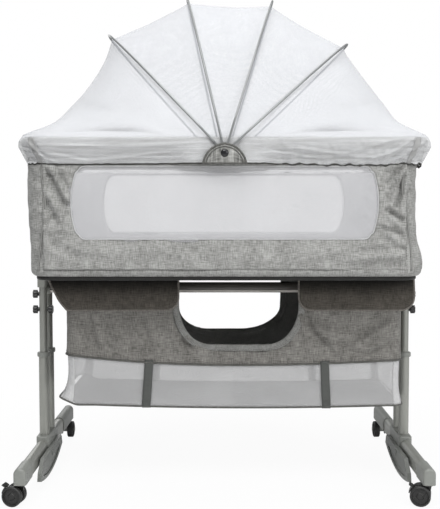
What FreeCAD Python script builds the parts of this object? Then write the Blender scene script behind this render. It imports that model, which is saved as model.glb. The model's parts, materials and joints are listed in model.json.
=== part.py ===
"""Bedside sleeper crib on wheeled feet, with a fan canopy of net.

Millimetres.  +X is to the right of someone who stands in front, +Y runs to the far side and
+Z is up.  The origin lies on the floor under the middle of the crib.
"""

import FreeCAD, Part
import math
import os

os.makedirs("parts", exist_ok=True)

# ------------------------------------------------------------------ clearances
CLEAR = 0.3  # gap between neighbours that only lie against each other
RUNNING = 0.05  # radial gap of a shaft that turns or slides in its hole
FIXED = 0.02  # radial gap of a pin or tube that is held fast

# ------------------------------------------------------------------ feet
FOOT_LENGTH = 608.0
FOOT_WIDTH = 24.0
FOOT_BOTTOM = 48.0
FOOT_HEIGHT = 35.0
FOOT_WALL = 2.0
CAP_WALL = 2.0
CAP_END = 9.0  # thickness of a cap's closed end
CAP_ROUND = 6.0
FRONT_CAP_LENGTH = 67.0
REAR_CAP_LENGTH = 150.0

# ------------------------------------------------------------------ casters and rear wheels
CASTER_RADIUS = 22.5
CASTER_TREAD = 13.0  # width of one of the twin discs
CASTER_GAP = 10.0  # between the twin discs
CASTER_TRAIL = 16.0
CASTER_FROM_END = 16.0  # stem axis behind the front end of the foot
CASTER_TURN = {"left": 170.0, "right": 165.0}  # heading of the trail, from +X
STEM_RADIUS = 5.0
STEM_LENGTH = 24.0
SOCKET_RADIUS = 9.0
AXLE_RADIUS = 3.5
YOKE_THICKNESS = 5.0
CROWN_RADIUS = 11.0
CROWN_HEIGHT = 3.0
LEVER_THICKNESS = 2.4
LEVER_WIDTH = 20.0
LEVER_REST = 30.0  # how far the pedal stands above level, in degrees
REAR_WHEEL_RADIUS = 22.0
REAR_WHEEL_WIDTH = 16.0
REAR_WHEEL_INWARD = 11.0  # middle of the wheel inside the middle of the foot
REAR_WHEEL_FROM_END = 29.0

# ------------------------------------------------------------------ rockers
ROCKER_LENGTH = 266.0
ROCKER_MIDDLE = -67.0  # middle of the rocker along Y
ROCKER_FRONT = 23.0  # height of its front tip
ROCKER_REAR = 42.0  # height of its rear tip
ROCKER_LOW = 12.0  # height of the middle of its arc
ROCKER_THICKNESS = 9.0
ROCKER_TOP = 66.0
ROCKER_PIVOT_Z = 55.0
ROCKER_PIN_RADIUS = 4.0
ROCKER_BOSS_RADIUS = 8.0

# ------------------------------------------------------------------ posts
POST_PITCH = 66.0  # front post to rear post
LEG_OUTSIDE = 9.0  # middle of a leg beyond the end of the body
BASKET_TO_POST = 24.0  # gap between the basket's nearer end and the lower tubes
LOWER_RADIUS = 12.0
LOWER_WALL = 1.5
LOWER_TOP = 283.0
UPPER_RADIUS = 9.5
UPPER_WALL = 1.5
UPPER_BOTTOM = 190.0
COLLAR_RADIUS = 15.5
COLLAR_HEIGHT = 12.0
COLLAR_SKIRT = 10.0  # part of the collar that goes down inside the lower tube
SADDLE_LENGTH = 122.0
SADDLE_WALL = 4.0
SADDLE_RISE = 7.0  # above the foot bar
SADDLE_DROP = 20.0  # how far the saddle's cheeks come down beside the bar

# ------------------------------------------------------------------ head and crossbar
HEAD_BOTTOM = 455.0
HEAD_WIDTH = 25.0
HEAD_LENGTH = 94.0
CROSSBAR_RADIUS = 13.0
CROSSBAR_WALL = 1.5
CROSSBAR_Z = 451.0
BOLT_RADIUS = 3.0
KNOB_RADIUS = 10.0
KNOB_HEIGHT = 10.0
KNOB_LOBES = 6
UPPER_KNOB_Z = 438.0
LOWER_KNOB_Z = 400.0

# ------------------------------------------------------------------ bassinet
BODY_LENGTH = 870.0
BODY_DEPTH = 540.0
BODY_BOTTOM = 495.0
BODY_CORNER = 60.0
BODY_BOTTOM_ROUND = 16.0
FABRIC = 3.0
PANEL_LENGTH = 788.0  # zip to zip
PANEL_SILL = 514.0
WINDOW_BOTTOM = 579.0
WINDOW_TOP = 740.0
WINDOW_END = 318.0  # half-length of the window at its corners
WINDOW_BULGE = 17.0  # how far its ends bow out
WINDOW_CORNER = 14.0
MESH = 1.0
BOARD = 10.0
MATTRESS = 46.0
MATTRESS_CROWN = 6.0
MATTRESS_ROUND = 18.0

# ------------------------------------------------------------------ rim
RIM_BOTTOM = 745.0
RIM_HEIGHT = 61.0
RIM_WIDTH = 26.0
RIM_OUTER_LENGTH = BODY_LENGTH + 40.0
RIM_OUTER_DEPTH = BODY_DEPTH + 30.0
RIM_CORNER = 72.0  # of the rim's outer face
BAND_THICKNESS = 1.2
BAND_BOTTOM = 746.0
BAND_TOP = 800.0

# ------------------------------------------------------------------ hub and ribs
HUB_Z = 765.0
HUB_RADIUS = 46.0
HUB_BASE = 742.0
HUB_THICKNESS = 7.0
HUB_APEX = 784.0
HUB_PIN_RADIUS = 3.0
HUB_BUTTON_RADIUS = 8.0
HUB_BUTTON_HEIGHT = 5.0
RIB_RADIUS = 2.5
RIB_REACHES = [411.0, 400.0, 400.0, 409.0]  # from the hub's axis to the top of each arch
RIB_ANGLES = [133.0, 103.0, 73.0, 43.0]
RIB_STRAIGHT_START = 34.0
RIB_STRAIGHT_END = 66.0
RIB_KNEE_RADIUS = 60.0
RIB_LEAN = 69.0  # of the leg, from the crib's far-near direction
RIB_LEG = 130.0
RIB_SHOULDER = 35.0
EYELET_THICKNESS = 1.4
EYELET_RADIUS = 7.0
EYELET_STEP = 1.7

# ------------------------------------------------------------------ net
NET_THICKNESS = 1.0
NET_BELOW_RIB = 12.0  # from the top of a rib's arch down to the net under it
NET_LEAN = 72.0
NET_LEG = 120.0
NET_SHOULDER = 36.0
NET_SAG = 15.0
NET_INSET = 0.7  # of the net's foot inside the band's outer face
END_SECTIONS = {  # angle, reach, lean, leg and shoulder of the outlines between rib and rim
    "left": [(140.0, 377.0, 73.0, 110.0, 38.0), (148.0, 371.0, 76.0, 100.0, 42.0), (156.0, 379.0, 79.0, 95.0, 46.0), (163.0, 399.0, 82.0, 90.0, 50.0)],
    "right": [(140.0, 391.0, 73.0, 110.0, 38.0), (148.0, 391.0, 76.0, 100.0, 42.0), (156.0, 399.0, 79.0, 95.0, 46.0), (163.0, 414.0, 82.0, 90.0, 50.0)],
}
NET_OVER_RIM = 4.0  # how far the net stands above the rim's crown
END_START = 205.0  # where the net's last outline begins, from the hub's axis

# ------------------------------------------------------------------ storage basket
BASKET_X = 22.0  # middle of the basket
BASKET_LENGTH = 772.0
BASKET_DEPTH = 300.0
BASKET_CORNER = 26.0
BASKET_BOTTOM = 188.0
BASKET_CLOTH = 2.0
SEAM_LEFT = 312.0
SEAM_MIDDLE = 283.0
SEAM_RIGHT = 297.0
MOUTHS = {"front": (-105.0, 172.0, 331.0), "back": (-119.0, 150.0, 327.0)}  # left, right, bottom
CUT_CORNER = 26.0
FLOOR_THICKNESS = 4.0
STRAP_WIDTH = 20.0
STRAP_THICKNESS = 1.5
STRAP_TOP = 297.0
STRAP_X = [-175.0, 233.0]
FLAP_BOTTOM = 412.0
FLAP_THICKNESS = 2.5
FLAP_CORNER = 26.0
FLAP_SPANS = {"left": (-406.0, -106.0), "right": (172.0, 438.0)}

V = FreeCAD.Vector
X_AXIS = V(1, 0, 0)
Y_AXIS = V(0, 1, 0)
Z_AXIS = V(0, 0, 1)
SIDES = {"left": -1, "right": 1}

# the legs stand at the ends of the body and clear of the basket
foot_x = max(BODY_LENGTH / 2 + LEG_OUTSIDE, BASKET_X + BASKET_LENGTH / 2 + BASKET_TO_POST + LOWER_RADIUS)
foot_top = FOOT_BOTTOM + FOOT_HEIGHT
foot_front = -FOOT_LENGTH / 2
foot_rear = FOOT_LENGTH / 2
post_ys = {"front": -POST_PITCH / 2, "rear": POST_PITCH / 2}


# ------------------------------------------------------------------ helpers
def save(name, shape):
    """Write one piece as one STEP file."""
    assert shape.isValid(), name
    shape.exportStep(f"parts/{name}.step")
    print(f"{name}: {len(shape.Solids)} solid(s), {shape.Volume / 1000:.1f} cm3")


def block(x0, x1, y0, y1, z0, z1):
    return Part.makeBox(x1 - x0, y1 - y0, z1 - z0, V(x0, y0, z0))


def rod(radius, start, end):
    """A solid cylinder from one point to another."""
    line = V(*end) - V(*start)
    return Part.makeCylinder(radius, line.Length, V(*start), line)


def pipe(radius, wall, start, end):
    """A hollow tube from one point to another."""
    return rod(radius, start, end).cut(rod(radius - wall, start, end))


def polygon_face(points):
    return Part.Face(Part.makePolygon([V(*p) for p in points] + [V(*points[0])]))


def rounded_rectangle(length, depth, radius, z, x=0.0):
    """A wire in plan with rounded corners, centred on (x, 0)."""
    a, b = length / 2, depth / 2
    r = radius
    edges = []
    corners = [(1, 1, 0), (-1, 1, 90), (-1, -1, 180), (1, -1, 270)]
    for i, (sx, sy, start) in enumerate(corners):
        centre = V(x + sx * (a - r), sy * (b - r), z)
        edges.append(Part.makeCircle(r, centre, Z_AXIS, start, start + 90))
        nx, ny, turn = corners[(i + 1) % 4]
        begin = edges[-1].Vertexes[-1].Point
        follow = V(x + nx * (a - r), ny * (b - r), z)
        end = follow + V(math.cos(math.radians(turn)), math.sin(math.radians(turn)), 0) * r
        edges.append(Part.makeLine(begin, end))
    return Part.Wire(edges)


def slab(length, depth, radius, z0, z1, x=0.0):
    """A rounded rectangle in plan, raised from z0 to z1."""
    return Part.Face(rounded_rectangle(length, depth, radius, z0, x)).extrude(V(0, 0, z1 - z0))


def edges_where(shape, test):
    return [e for e in shape.Edges if test(e)]


def mirrored(shape, side):
    """A piece drawn for the right side, or its mirror image for the left."""
    return shape if side == "right" else shape.mirror(V(0, 0, 0), X_AXIS)


# ------------------------------------------------------------------ feet
def foot_section(width, bottom, height, y):
    """Arched section of the foot bar, square to Y, round on top."""
    r = width / 2
    shoulder = bottom + height - r
    left, right = foot_x - r, foot_x + r
    arch = Part.Arc(V(right, y, shoulder), V(foot_x, y, shoulder + r), V(left, y, shoulder)).toShape()
    sides = [
        Part.makeLine(V(left, y, shoulder), V(left, y, bottom)),
        Part.makeLine(V(left, y, bottom), V(right, y, bottom)),
        Part.makeLine(V(right, y, bottom), V(right, y, shoulder)),
    ]
    return Part.Face(Part.Wire([arch] + sides))


def foot_solid(grow, y0, y1, bottom=FOOT_BOTTOM):
    """The bar's outline, grown all round by a gap, between two places along Y."""
    width = FOOT_WIDTH + 2 * grow
    return foot_section(width, bottom, foot_top + grow - bottom, y0).extrude(V(0, y1 - y0, 0))


def foot_bar():
    y0, y1 = foot_front + CAP_END, foot_rear - CAP_END
    bar = foot_solid(0, y0, y1)
    bar = bar.cut(foot_solid(-FOOT_WALL, y0, y1, FOOT_BOTTOM - 1))
    # hole in the inner wall for the rocker's pin
    y, z = rocker_pivot()
    wall = foot_x - FOOT_WIDTH / 2
    bar = bar.cut(rod(ROCKER_PIN_RADIUS + RUNNING, (wall - 1, y, z), (wall + FOOT_WALL + 1, y, z)))
    # notch over the rear wheel, on the inner side
    wheel_y = rear_wheel_y()
    reach = REAR_WHEEL_RADIUS + 3
    notch = rod(reach, (wall - 1, wheel_y, REAR_WHEEL_RADIUS), (wall + FOOT_WALL + 1, wheel_y, REAR_WHEEL_RADIUS))
    return bar.cut(notch)


def caster_y():
    return foot_front + CASTER_FROM_END


def rear_wheel_y():
    return foot_rear - REAR_WHEEL_FROM_END


def front_cap():
    """Moulded sleeve over the bar's front end, with the caster's socket inside."""
    y0, y1 = foot_front, foot_front + FRONT_CAP_LENGTH
    outer = foot_solid(CAP_WALL, y0, y1)
    outer = outer.makeFillet(CAP_ROUND, edges_where(outer, lambda e: on_arch_end(e, y0)))
    sleeve = outer.cut(foot_solid(FIXED, y0 + CAP_END, y1 + 1, FOOT_BOTTOM - 1))
    plug = rod(SOCKET_RADIUS, (foot_x, caster_y(), FOOT_BOTTOM), (foot_x, caster_y(), foot_top - 9))
    bore = rod(STEM_RADIUS + RUNNING, (foot_x, caster_y(), FOOT_BOTTOM - 1), (foot_x, caster_y(), stem_top() + CLEAR))
    web = block(foot_x - 1.5, foot_x + 1.5, y0 + 1, caster_y(), FOOT_BOTTOM, foot_top - 12)
    return sleeve.fuse([plug, web]).cut(bore).removeSplitter()


def on_arch_end(edge, y):
    """True for the curved and upright edges of an end face that stand above its foot."""
    box = edge.BoundBox
    flat = abs(box.YMin - y) < 0.01 and abs(box.YMax - y) < 0.01
    return flat and box.ZMax > FOOT_BOTTOM + 1


def rear_cap():
    """Long sleeve over the rear end, with the cheeks that hold the rear wheel's axle."""
    y0, y1 = foot_rear - REAR_CAP_LENGTH, foot_rear
    outer = foot_solid(CAP_WALL, y0, y1)
    outer = outer.makeFillet(CAP_ROUND, edges_where(outer, lambda e: on_arch_end(e, y1)))
    sleeve = outer.cut(foot_solid(FIXED, y0 - 1, y1 - CAP_END, FOOT_BOTTOM - 1))
    y, z = rear_wheel_y(), REAR_WHEEL_RADIUS
    inner_x = foot_x - FOOT_WIDTH / 2 - CAP_WALL
    reach = REAR_WHEEL_RADIUS + 2
    sleeve = sleeve.cut(rod(reach, (inner_x - 1, y, z), (foot_x, y, z)))
    # outer cheek that drops beside the wheel
    cheek_x = foot_x + FOOT_WIDTH / 2
    cheek = block(cheek_x + FIXED, cheek_x + CAP_WALL, y - 13, y + 13, z, FOOT_BOTTOM + 1)
    cheek = cheek.fuse(rod(13, (cheek_x + FIXED, y, z), (cheek_x + CAP_WALL, y, z)))
    wheel_x = rear_wheel_x()
    axle_start = wheel_x - REAR_WHEEL_WIDTH / 2 - 3
    axle = rod(AXLE_RADIUS, (axle_start, y, z), (cheek_x + CAP_WALL, y, z))
    stop = rod(AXLE_RADIUS + 3, (axle_start, y, z), (wheel_x - REAR_WHEEL_WIDTH / 2 - CLEAR, y, z))
    shoulder = rod(AXLE_RADIUS + 3, (wheel_x + REAR_WHEEL_WIDTH / 2 + CLEAR, y, z), (cheek_x + CAP_WALL, y, z))
    return sleeve.fuse([cheek, axle, stop, shoulder]).removeSplitter()


def rear_wheel_x():
    return foot_x - REAR_WHEEL_INWARD


def rear_wheel():
    """Plain wheel with a rounded tread and dished faces."""
    y, z = rear_wheel_y(), REAR_WHEEL_RADIUS
    x0 = rear_wheel_x() - REAR_WHEEL_WIDTH / 2
    x1 = x0 + REAR_WHEEL_WIDTH
    wheel = rod(REAR_WHEEL_RADIUS, (x0, y, z), (x1, y, z))
    wheel = wheel.makeFillet(3.0, edges_where(wheel, lambda e: isinstance(e.Curve, Part.Circle)))
    dish = rod(REAR_WHEEL_RADIUS - 5, (x0 - 1, y, z), (x0 + 2.5, y, z))
    dish = dish.cut(rod(AXLE_RADIUS + 3.5, (x0 - 1, y, z), (x0 + 2.5, y, z)))
    other = dish.translated(V(REAR_WHEEL_WIDTH - 1.5, 0, 0))
    return wheel.cut([dish, other, rod(AXLE_RADIUS + RUNNING, (x0 - 1, y, z), (x1 + 1, y, z))])


# ------------------------------------------------------------------ casters
def stem_top():
    return FOOT_BOTTOM + STEM_LENGTH


def caster_frame(side):
    """Placement that turns a caster drawn at the origin, trail along +X, into its place."""
    place = FreeCAD.Placement(V(SIDES[side] * foot_x, caster_y(), 0), FreeCAD.Rotation(Z_AXIS, CASTER_TURN[side]))
    return place.toMatrix()


def caster_fork():
    """Stem, crown disc and the yoke plate that runs down between the twin discs."""
    t = YOKE_THICKNESS / 2
    top = FOOT_BOTTOM - CLEAR
    stem = rod(STEM_RADIUS, (0, 0, top - CROWN_HEIGHT), (0, 0, stem_top()))
    crown = rod(CROWN_RADIUS, (0, 0, top - CROWN_HEIGHT), (0, 0, top))
    z = CASTER_RADIUS
    outline = polygon_face(
        [
            (-8, -t, top - 1),
            (9, -t, top - 1),
            (CASTER_TRAIL + 8, -t, z + 5),
            (CASTER_TRAIL + 6, -t, z - 7),
            (CASTER_TRAIL - 6, -t, z - 7),
            (-6, -t, z + 12),
        ]
    )
    plate = outline.extrude(V(0, YOKE_THICKNESS, 0))
    fork = stem.fuse([crown, plate])
    return fork.cut(rod(AXLE_RADIUS + RUNNING, (CASTER_TRAIL, -t - 1, z), (CASTER_TRAIL, t + 1, z)))


def caster_wheel():
    """Twin discs on one axle, revolved in one go."""
    half_gap = CASTER_GAP / 2
    outer = half_gap + CASTER_TREAD
    r = CASTER_RADIUS
    outline = [
        (0, 0, 0),
        (0, outer - 2, 0),
        (0, outer - 2, 6),
        (0, outer - 4, 8),
        (0, outer - 4, r - 5),
        (0, outer, r - 4),
        (0, outer, r - 2),
        (0, outer - 2, r),
        (0, half_gap + 2, r),
        (0, half_gap, r - 2),
        (0, half_gap, AXLE_RADIUS),
        (0, 0, AXLE_RADIUS),
    ]
    half = polygon_face(outline).revolve(V(0, 0, 0), Y_AXIS, 360)
    wheel = half.fuse(half.mirror(V(0, 0, 0), Y_AXIS)).removeSplitter()
    return wheel.translated(V(CASTER_TRAIL, 0, CASTER_RADIUS))


def caster_lever():
    """Brake lever: a ring on the axle, an arm between the discs and a curved pedal outside."""
    y0 = YOKE_THICKNESS / 2 + RUNNING
    y1 = y0 + LEVER_THICKNESS - 2 * RUNNING
    z = CASTER_RADIUS
    r0 = CASTER_RADIUS + 0.8
    r1 = r0 + LEVER_THICKNESS
    ring = rod(AXLE_RADIUS + 3, (0, y0, 0), (0, y1, 0))
    arm = block(0, r1 - 1, y0, y1, -3.5, 3.5)
    pedal = rod(r1, (0, -LEVER_WIDTH / 2, 0), (0, LEVER_WIDTH / 2, 0))
    pedal = pedal.cut(rod(r0, (0, -LEVER_WIDTH, 0), (0, LEVER_WIDTH, 0)))
    wedge = polygon_face([(0, -LEVER_WIDTH, 0), (60, -LEVER_WIDTH, -22), (60, -LEVER_WIDTH, 22)])
    pedal = pedal.common(wedge.extrude(V(0, 2 * LEVER_WIDTH, 0)))
    tip = block(r0 + 1, r1 + 7, -LEVER_WIDTH / 2, LEVER_WIDTH / 2, 6.5, 9)
    lever = ring.fuse([arm, pedal, tip]).cut(rod(AXLE_RADIUS + RUNNING, (0, -1, 0), (0, y1 + 1, 0)))
    lever.rotate(V(0, 0, 0), Y_AXIS, -LEVER_REST)
    return lever.translated(V(CASTER_TRAIL, 0, z))


# ------------------------------------------------------------------ rockers
def rocker_pivot():
    """(y, z) of the pin that the rocker folds about."""
    return ROCKER_MIDDLE, ROCKER_PIVOT_Z


def rocker():
    """Crescent plate beside the foot bar, with its pin."""
    bar = foot_x - FOOT_WIDTH / 2
    x1 = bar - SADDLE_WALL - CLEAR
    x0 = x1 - ROCKER_THICKNESS
    half = ROCKER_LENGTH / 2
    y, z = rocker_pivot()
    front, rear = ROCKER_MIDDLE - half, ROCKER_MIDDLE + half
    tips = [V(x0, front, ROCKER_FRONT), V(x0, rear, ROCKER_REAR)]
    low = V(x0, ROCKER_MIDDLE, ROCKER_LOW)
    tops = [V(x0, rear - 8, ROCKER_TOP - 6), V(x0, rear - 16, ROCKER_TOP), V(x0, front + 40, ROCKER_TOP), V(x0, front + 6, ROCKER_FRONT + 18)]
    edges = [Part.Arc(tips[0], low, tips[1]).toShape()]
    corners = [tips[1]] + tops + [tips[0]]
    edges += [Part.makeLine(p, q) for p, q in zip(corners, corners[1:])]
    plate = Part.Face(Part.Wire(edges)).extrude(V(ROCKER_THICKNESS, 0, 0))
    # long shallow recess on the inner face leaves a rib all round
    rib = 6.0
    inner = [
        Part.Arc(tips[0] + V(0, 24, 6), low + V(0, 0, rib), tips[1] + V(0, -24, 4)).toShape(),
        Part.makeLine(tips[1] + V(0, -24, 4), tips[0] + V(0, 24, 6)),
    ]
    recess = Part.Face(Part.Wire(inner)).extrude(V(3, 0, 0))
    boss = rod(ROCKER_BOSS_RADIUS, (x0, y, z), (bar - CLEAR, y, z))
    pin = rod(ROCKER_PIN_RADIUS, (x0 - 2, y, z), (bar + FOOT_WALL + 3, y, z))
    head = rod(ROCKER_BOSS_RADIUS - 1, (x0 - 2, y, z), (x0, y, z))
    return plate.cut(recess).fuse([boss, pin, head]).removeSplitter()


# ------------------------------------------------------------------ posts
def saddle():
    """Moulded block clamped over the foot bar that holds the two lower tubes."""
    half = SADDLE_LENGTH / 2
    grow = SADDLE_WALL
    bottom = foot_top - SADDLE_DROP
    body = block(foot_x - FOOT_WIDTH / 2 - grow, foot_x + FOOT_WIDTH / 2 + grow, -half, half, bottom, foot_top + SADDLE_RISE)
    upright = edges_where(body, lambda e: e.BoundBox.ZLength > SADDLE_RISE)
    body = body.makeFillet(9.0, upright)
    top = edges_where(body, lambda e: e.BoundBox.ZMin > foot_top + SADDLE_RISE - 0.01)
    body = body.makeFillet(3.0, top)
    body = body.cut(foot_solid(FIXED, -half - 1, half + 1, bottom - 1))
    for y in post_ys.values():
        body = body.cut(rod(LOWER_RADIUS + FIXED, (foot_x, y, post_foot()), (foot_x, y, foot_top + 60)))
    # the rocker's end passes below the cheek
    return body


def post_foot():
    return foot_top + 1.5


def lower_post(y):
    return pipe(LOWER_RADIUS, LOWER_WALL, (foot_x, y, post_foot()), (foot_x, y, LOWER_TOP))


def collar(y):
    """Ring on top of the lower tube that guides the upper one."""
    top = LOWER_TOP + COLLAR_HEIGHT
    ring = rod(COLLAR_RADIUS, (foot_x, y, LOWER_TOP), (foot_x, y, top))
    ring = ring.makeFillet(3.0, edges_where(ring, lambda e: isinstance(e.Curve, Part.Circle)))
    inner = LOWER_RADIUS - LOWER_WALL - FIXED
    ring = ring.fuse(rod(inner, (foot_x, y, LOWER_TOP - COLLAR_SKIRT), (foot_x, y, LOWER_TOP + 1)))
    bore = rod(UPPER_RADIUS + RUNNING, (foot_x, y, LOWER_TOP - COLLAR_SKIRT - 1), (foot_x, y, top + 1))
    return ring.cut(bore).removeSplitter()


def upper_frame():
    """The two upper tubes of one side, welded into the head that carries the bassinet."""
    top = BODY_BOTTOM - CLEAR
    half_w, half_l = HEAD_WIDTH / 2, HEAD_LENGTH / 2
    head = block(foot_x - half_w, foot_x + half_w, -half_l, half_l, HEAD_BOTTOM, top)
    head = head.makeFillet(9.0, edges_where(head, lambda e: e.BoundBox.ZLength > 10))
    frame = head
    for y in post_ys.values():
        tube = rod(UPPER_RADIUS, (foot_x, y, UPPER_BOTTOM), (foot_x, y, HEAD_BOTTOM + 5))
        frame = frame.fuse(tube)
    for y in post_ys.values():
        frame = frame.cut(rod(UPPER_RADIUS - UPPER_WALL, (foot_x, y, UPPER_BOTTOM - 1), (foot_x, y, HEAD_BOTTOM + 4)))
    y = post_ys["front"]
    reach = UPPER_RADIUS + 1
    for z, inner in ((UPPER_KNOB_Z, 0.0), (LOWER_KNOB_Z, reach)):
        frame = frame.cut(rod(BOLT_RADIUS + RUNNING, (foot_x - inner, y, z), (foot_x + reach, y, z)))
    # seat of the crossbar in the head's inner face
    seat = rod(CROSSBAR_RADIUS + FIXED, (foot_x - half_w - 1, 0, CROSSBAR_Z), (crossbar_end(), 0, CROSSBAR_Z))
    lug = rod(CROSSBAR_RADIUS + 3, (foot_x - half_w, 0, CROSSBAR_Z), (foot_x + half_w, 0, CROSSBAR_Z))
    return frame.fuse(lug).cut(seat).removeSplitter()


def crossbar_end():
    return foot_x - HEAD_WIDTH / 2 + 10.0


def crossbar():
    return pipe(CROSSBAR_RADIUS, CROSSBAR_WALL, (-crossbar_end(), 0, CROSSBAR_Z), (crossbar_end(), 0, CROSSBAR_Z))


def knob_head(x, y, z, outward):
    """Star grip on a short neck; outward is +1 when it points to +X."""
    neck = rod(5.0, (x, y, z), (x + outward * 4, y, z))
    start = x + outward * 4
    end = start + outward * KNOB_HEIGHT
    grip = rod(KNOB_RADIUS, (start, y, z), (end, y, z))
    for i in range(KNOB_LOBES):
        turn = 2 * math.pi * i / KNOB_LOBES
        cy = y + (KNOB_RADIUS + 2.2) * math.cos(turn)
        cz = z + (KNOB_RADIUS + 2.2) * math.sin(turn)
        grip = grip.cut(rod(4.0, (start, cy, cz), (end, cy, cz)))
    return neck.fuse(grip)


def upper_knob():
    """Grip on the outside of the front tube that clamps the basket's frame."""
    y = post_ys["front"]
    x = foot_x + UPPER_RADIUS + CLEAR
    bolt = rod(BOLT_RADIUS, (foot_x + 2, y, UPPER_KNOB_Z), (x + 5, y, UPPER_KNOB_Z))
    return bolt.fuse(knob_head(x, y, UPPER_KNOB_Z, 1)).removeSplitter()


def lower_knob():
    """Through bolt with a grip on each side of the front tube."""
    y = post_ys["front"]
    gap = UPPER_RADIUS + CLEAR
    bolt = rod(BOLT_RADIUS, (foot_x - gap - 5, y, LOWER_KNOB_Z), (foot_x + gap + 5, y, LOWER_KNOB_Z))
    grips = [knob_head(foot_x + gap, y, LOWER_KNOB_Z, 1), knob_head(foot_x - gap, y, LOWER_KNOB_Z, -1)]
    return bolt.fuse(grips).removeSplitter()


# ------------------------------------------------------------------ bassinet
def window_face(y, shrink=0.0):
    """Outline of a window: straight top and bottom, bowed ends, rounded corners."""
    end = WINDOW_END - shrink
    bottom, top = WINDOW_BOTTOM + shrink, WINDOW_TOP - shrink
    middle = (bottom + top) / 2
    bow = end + WINDOW_BULGE
    edges = [
        Part.makeLine(V(-end, y, bottom), V(end, y, bottom)),
        Part.Arc(V(end, y, bottom), V(bow, y, middle), V(end, y, top)).toShape(),
        Part.makeLine(V(end, y, top), V(-end, y, top)),
        Part.Arc(V(-end, y, top), V(-bow, y, middle), V(-end, y, bottom)).toShape(),
    ]
    return Part.Face(Part.Wire(edges))


def window_solid(y0, y1, shrink=0.0):
    solid = window_face(y0, shrink).extrude(V(0, y1 - y0, 0))
    corners = edges_where(solid, lambda e: e.BoundBox.YLength > abs(y1 - y0) - 0.01)
    return solid.makeFillet(WINDOW_CORNER - shrink, corners)


def tub():
    """Fabric walls and floor of the bassinet, without the zipped front panel."""
    outer = slab(BODY_LENGTH, BODY_DEPTH, BODY_CORNER, BODY_BOTTOM, RIM_BOTTOM)
    outer = outer.makeFillet(BODY_BOTTOM_ROUND, edges_where(outer, lambda e: e.BoundBox.ZMax < BODY_BOTTOM + 0.01))
    floor = BODY_BOTTOM + FABRIC
    inner = slab(BODY_LENGTH - 2 * FABRIC, BODY_DEPTH - 2 * FABRIC, BODY_CORNER - FABRIC, floor, RIM_BOTTOM + 1)
    inner = inner.makeFillet(BODY_BOTTOM_ROUND - FABRIC, edges_where(inner, lambda e: e.BoundBox.ZMax < floor + 0.01))
    walls = outer.cut(inner)
    front = -BODY_DEPTH / 2
    gap = block(-PANEL_LENGTH / 2, PANEL_LENGTH / 2, front - 1, front + FABRIC + 1, PANEL_SILL, RIM_BOTTOM + 1)
    back = BODY_DEPTH / 2
    return walls.cut([gap, window_solid(back - FABRIC - 1, back + 1)])


def front_panel():
    """The zipped front panel with its window."""
    front = -BODY_DEPTH / 2
    half = PANEL_LENGTH / 2 - CLEAR
    sheet = block(-half, half, front, front + FABRIC, PANEL_SILL + CLEAR, RIM_BOTTOM)
    return sheet.cut(window_solid(front - 1, front + FABRIC + 1))


def window_mesh(side):
    """Fine mesh held in the middle of the wall's thickness."""
    middle = side * (BODY_DEPTH - FABRIC) / 2
    return window_solid(middle - MESH / 2, middle + MESH / 2, CLEAR)


def base_board():
    """Stiff board that lies on the fabric floor under the mattress."""
    inset = 2 * (FABRIC + BODY_BOTTOM_ROUND * 0.7)
    z = BODY_BOTTOM + FABRIC + CLEAR
    return slab(BODY_LENGTH - inset, BODY_DEPTH - inset, BODY_CORNER - inset / 2, z, z + BOARD)


def mattress():
    """Mattress with drawn-in edges and a low crown."""
    z = BODY_BOTTOM + FABRIC + BOARD + 2 * CLEAR
    length = BODY_LENGTH - 2 * FABRIC - 4
    depth = BODY_DEPTH - 2 * FABRIC - 4
    radius = BODY_CORNER - FABRIC - 2
    body = slab(length, depth, radius, z, z + MATTRESS)
    rims = edges_where(body, lambda e: e.BoundBox.ZLength < 0.01)
    body = body.makeFillet(MATTRESS_ROUND, rims)
    top = z + MATTRESS
    wires = []
    for inset, rise in ((MATTRESS_ROUND + 4, -1.0), (2 * MATTRESS_ROUND, 0.35), (5 * MATTRESS_ROUND, 0.9)):
        level = top + max(rise, -1.0) * MATTRESS_CROWN
        wires.append(rounded_rectangle(length - 2 * inset, depth - 2 * inset, radius, level))
    return body.fuse(Part.makeLoft(wires, True, True)).removeSplitter()


# ------------------------------------------------------------------ rim
def rim():
    """Padded rail all round the top of the bassinet."""
    half_w = RIM_WIDTH / 2
    length, depth = RIM_OUTER_LENGTH - RIM_WIDTH, RIM_OUTER_DEPTH - RIM_WIDTH
    path = rounded_rectangle(length, depth, RIM_CORNER - half_w, RIM_BOTTOM + RIM_HEIGHT / 2)
    start = path.OrderedVertexes[0].Point
    x, z0, z1 = start.x, RIM_BOTTOM + half_w, RIM_BOTTOM + RIM_HEIGHT - half_w
    edges = [
        Part.makeLine(V(x - half_w, start.y, z0), V(x - half_w, start.y, z1)),
        Part.Arc(V(x - half_w, start.y, z1), V(x, start.y, z1 + half_w), V(x + half_w, start.y, z1)).toShape(),
        Part.makeLine(V(x + half_w, start.y, z1), V(x + half_w, start.y, z0)),
        Part.Arc(V(x + half_w, start.y, z0), V(x, start.y, z0 - half_w), V(x - half_w, start.y, z0)).toShape(),
    ]
    return path.makePipeShell([Part.Wire(edges)], True, True)


def net_band():
    """Gathered lower part of the net, drawn over the outside of the rim."""
    outer = band_face()
    ring = slab(*outer, BAND_BOTTOM, BAND_TOP)
    t = BAND_THICKNESS
    return ring.cut(slab(outer[0] - 2 * t, outer[1] - 2 * t, outer[2] - t, BAND_BOTTOM - 1, BAND_TOP + 1))


def band_face():
    """Length, depth and corner of the band's outer face."""
    grow = CLEAR + BAND_THICKNESS
    return RIM_OUTER_LENGTH + 2 * grow, RIM_OUTER_DEPTH + 2 * grow, RIM_CORNER + grow


# ------------------------------------------------------------------ hub and ribs
def band_y():
    return band_face()[1] / 2


def rib_y():
    """Middle of a rib's straight lower stretch, just outside the band."""
    return band_y() + CLEAR + RIB_RADIUS


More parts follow.
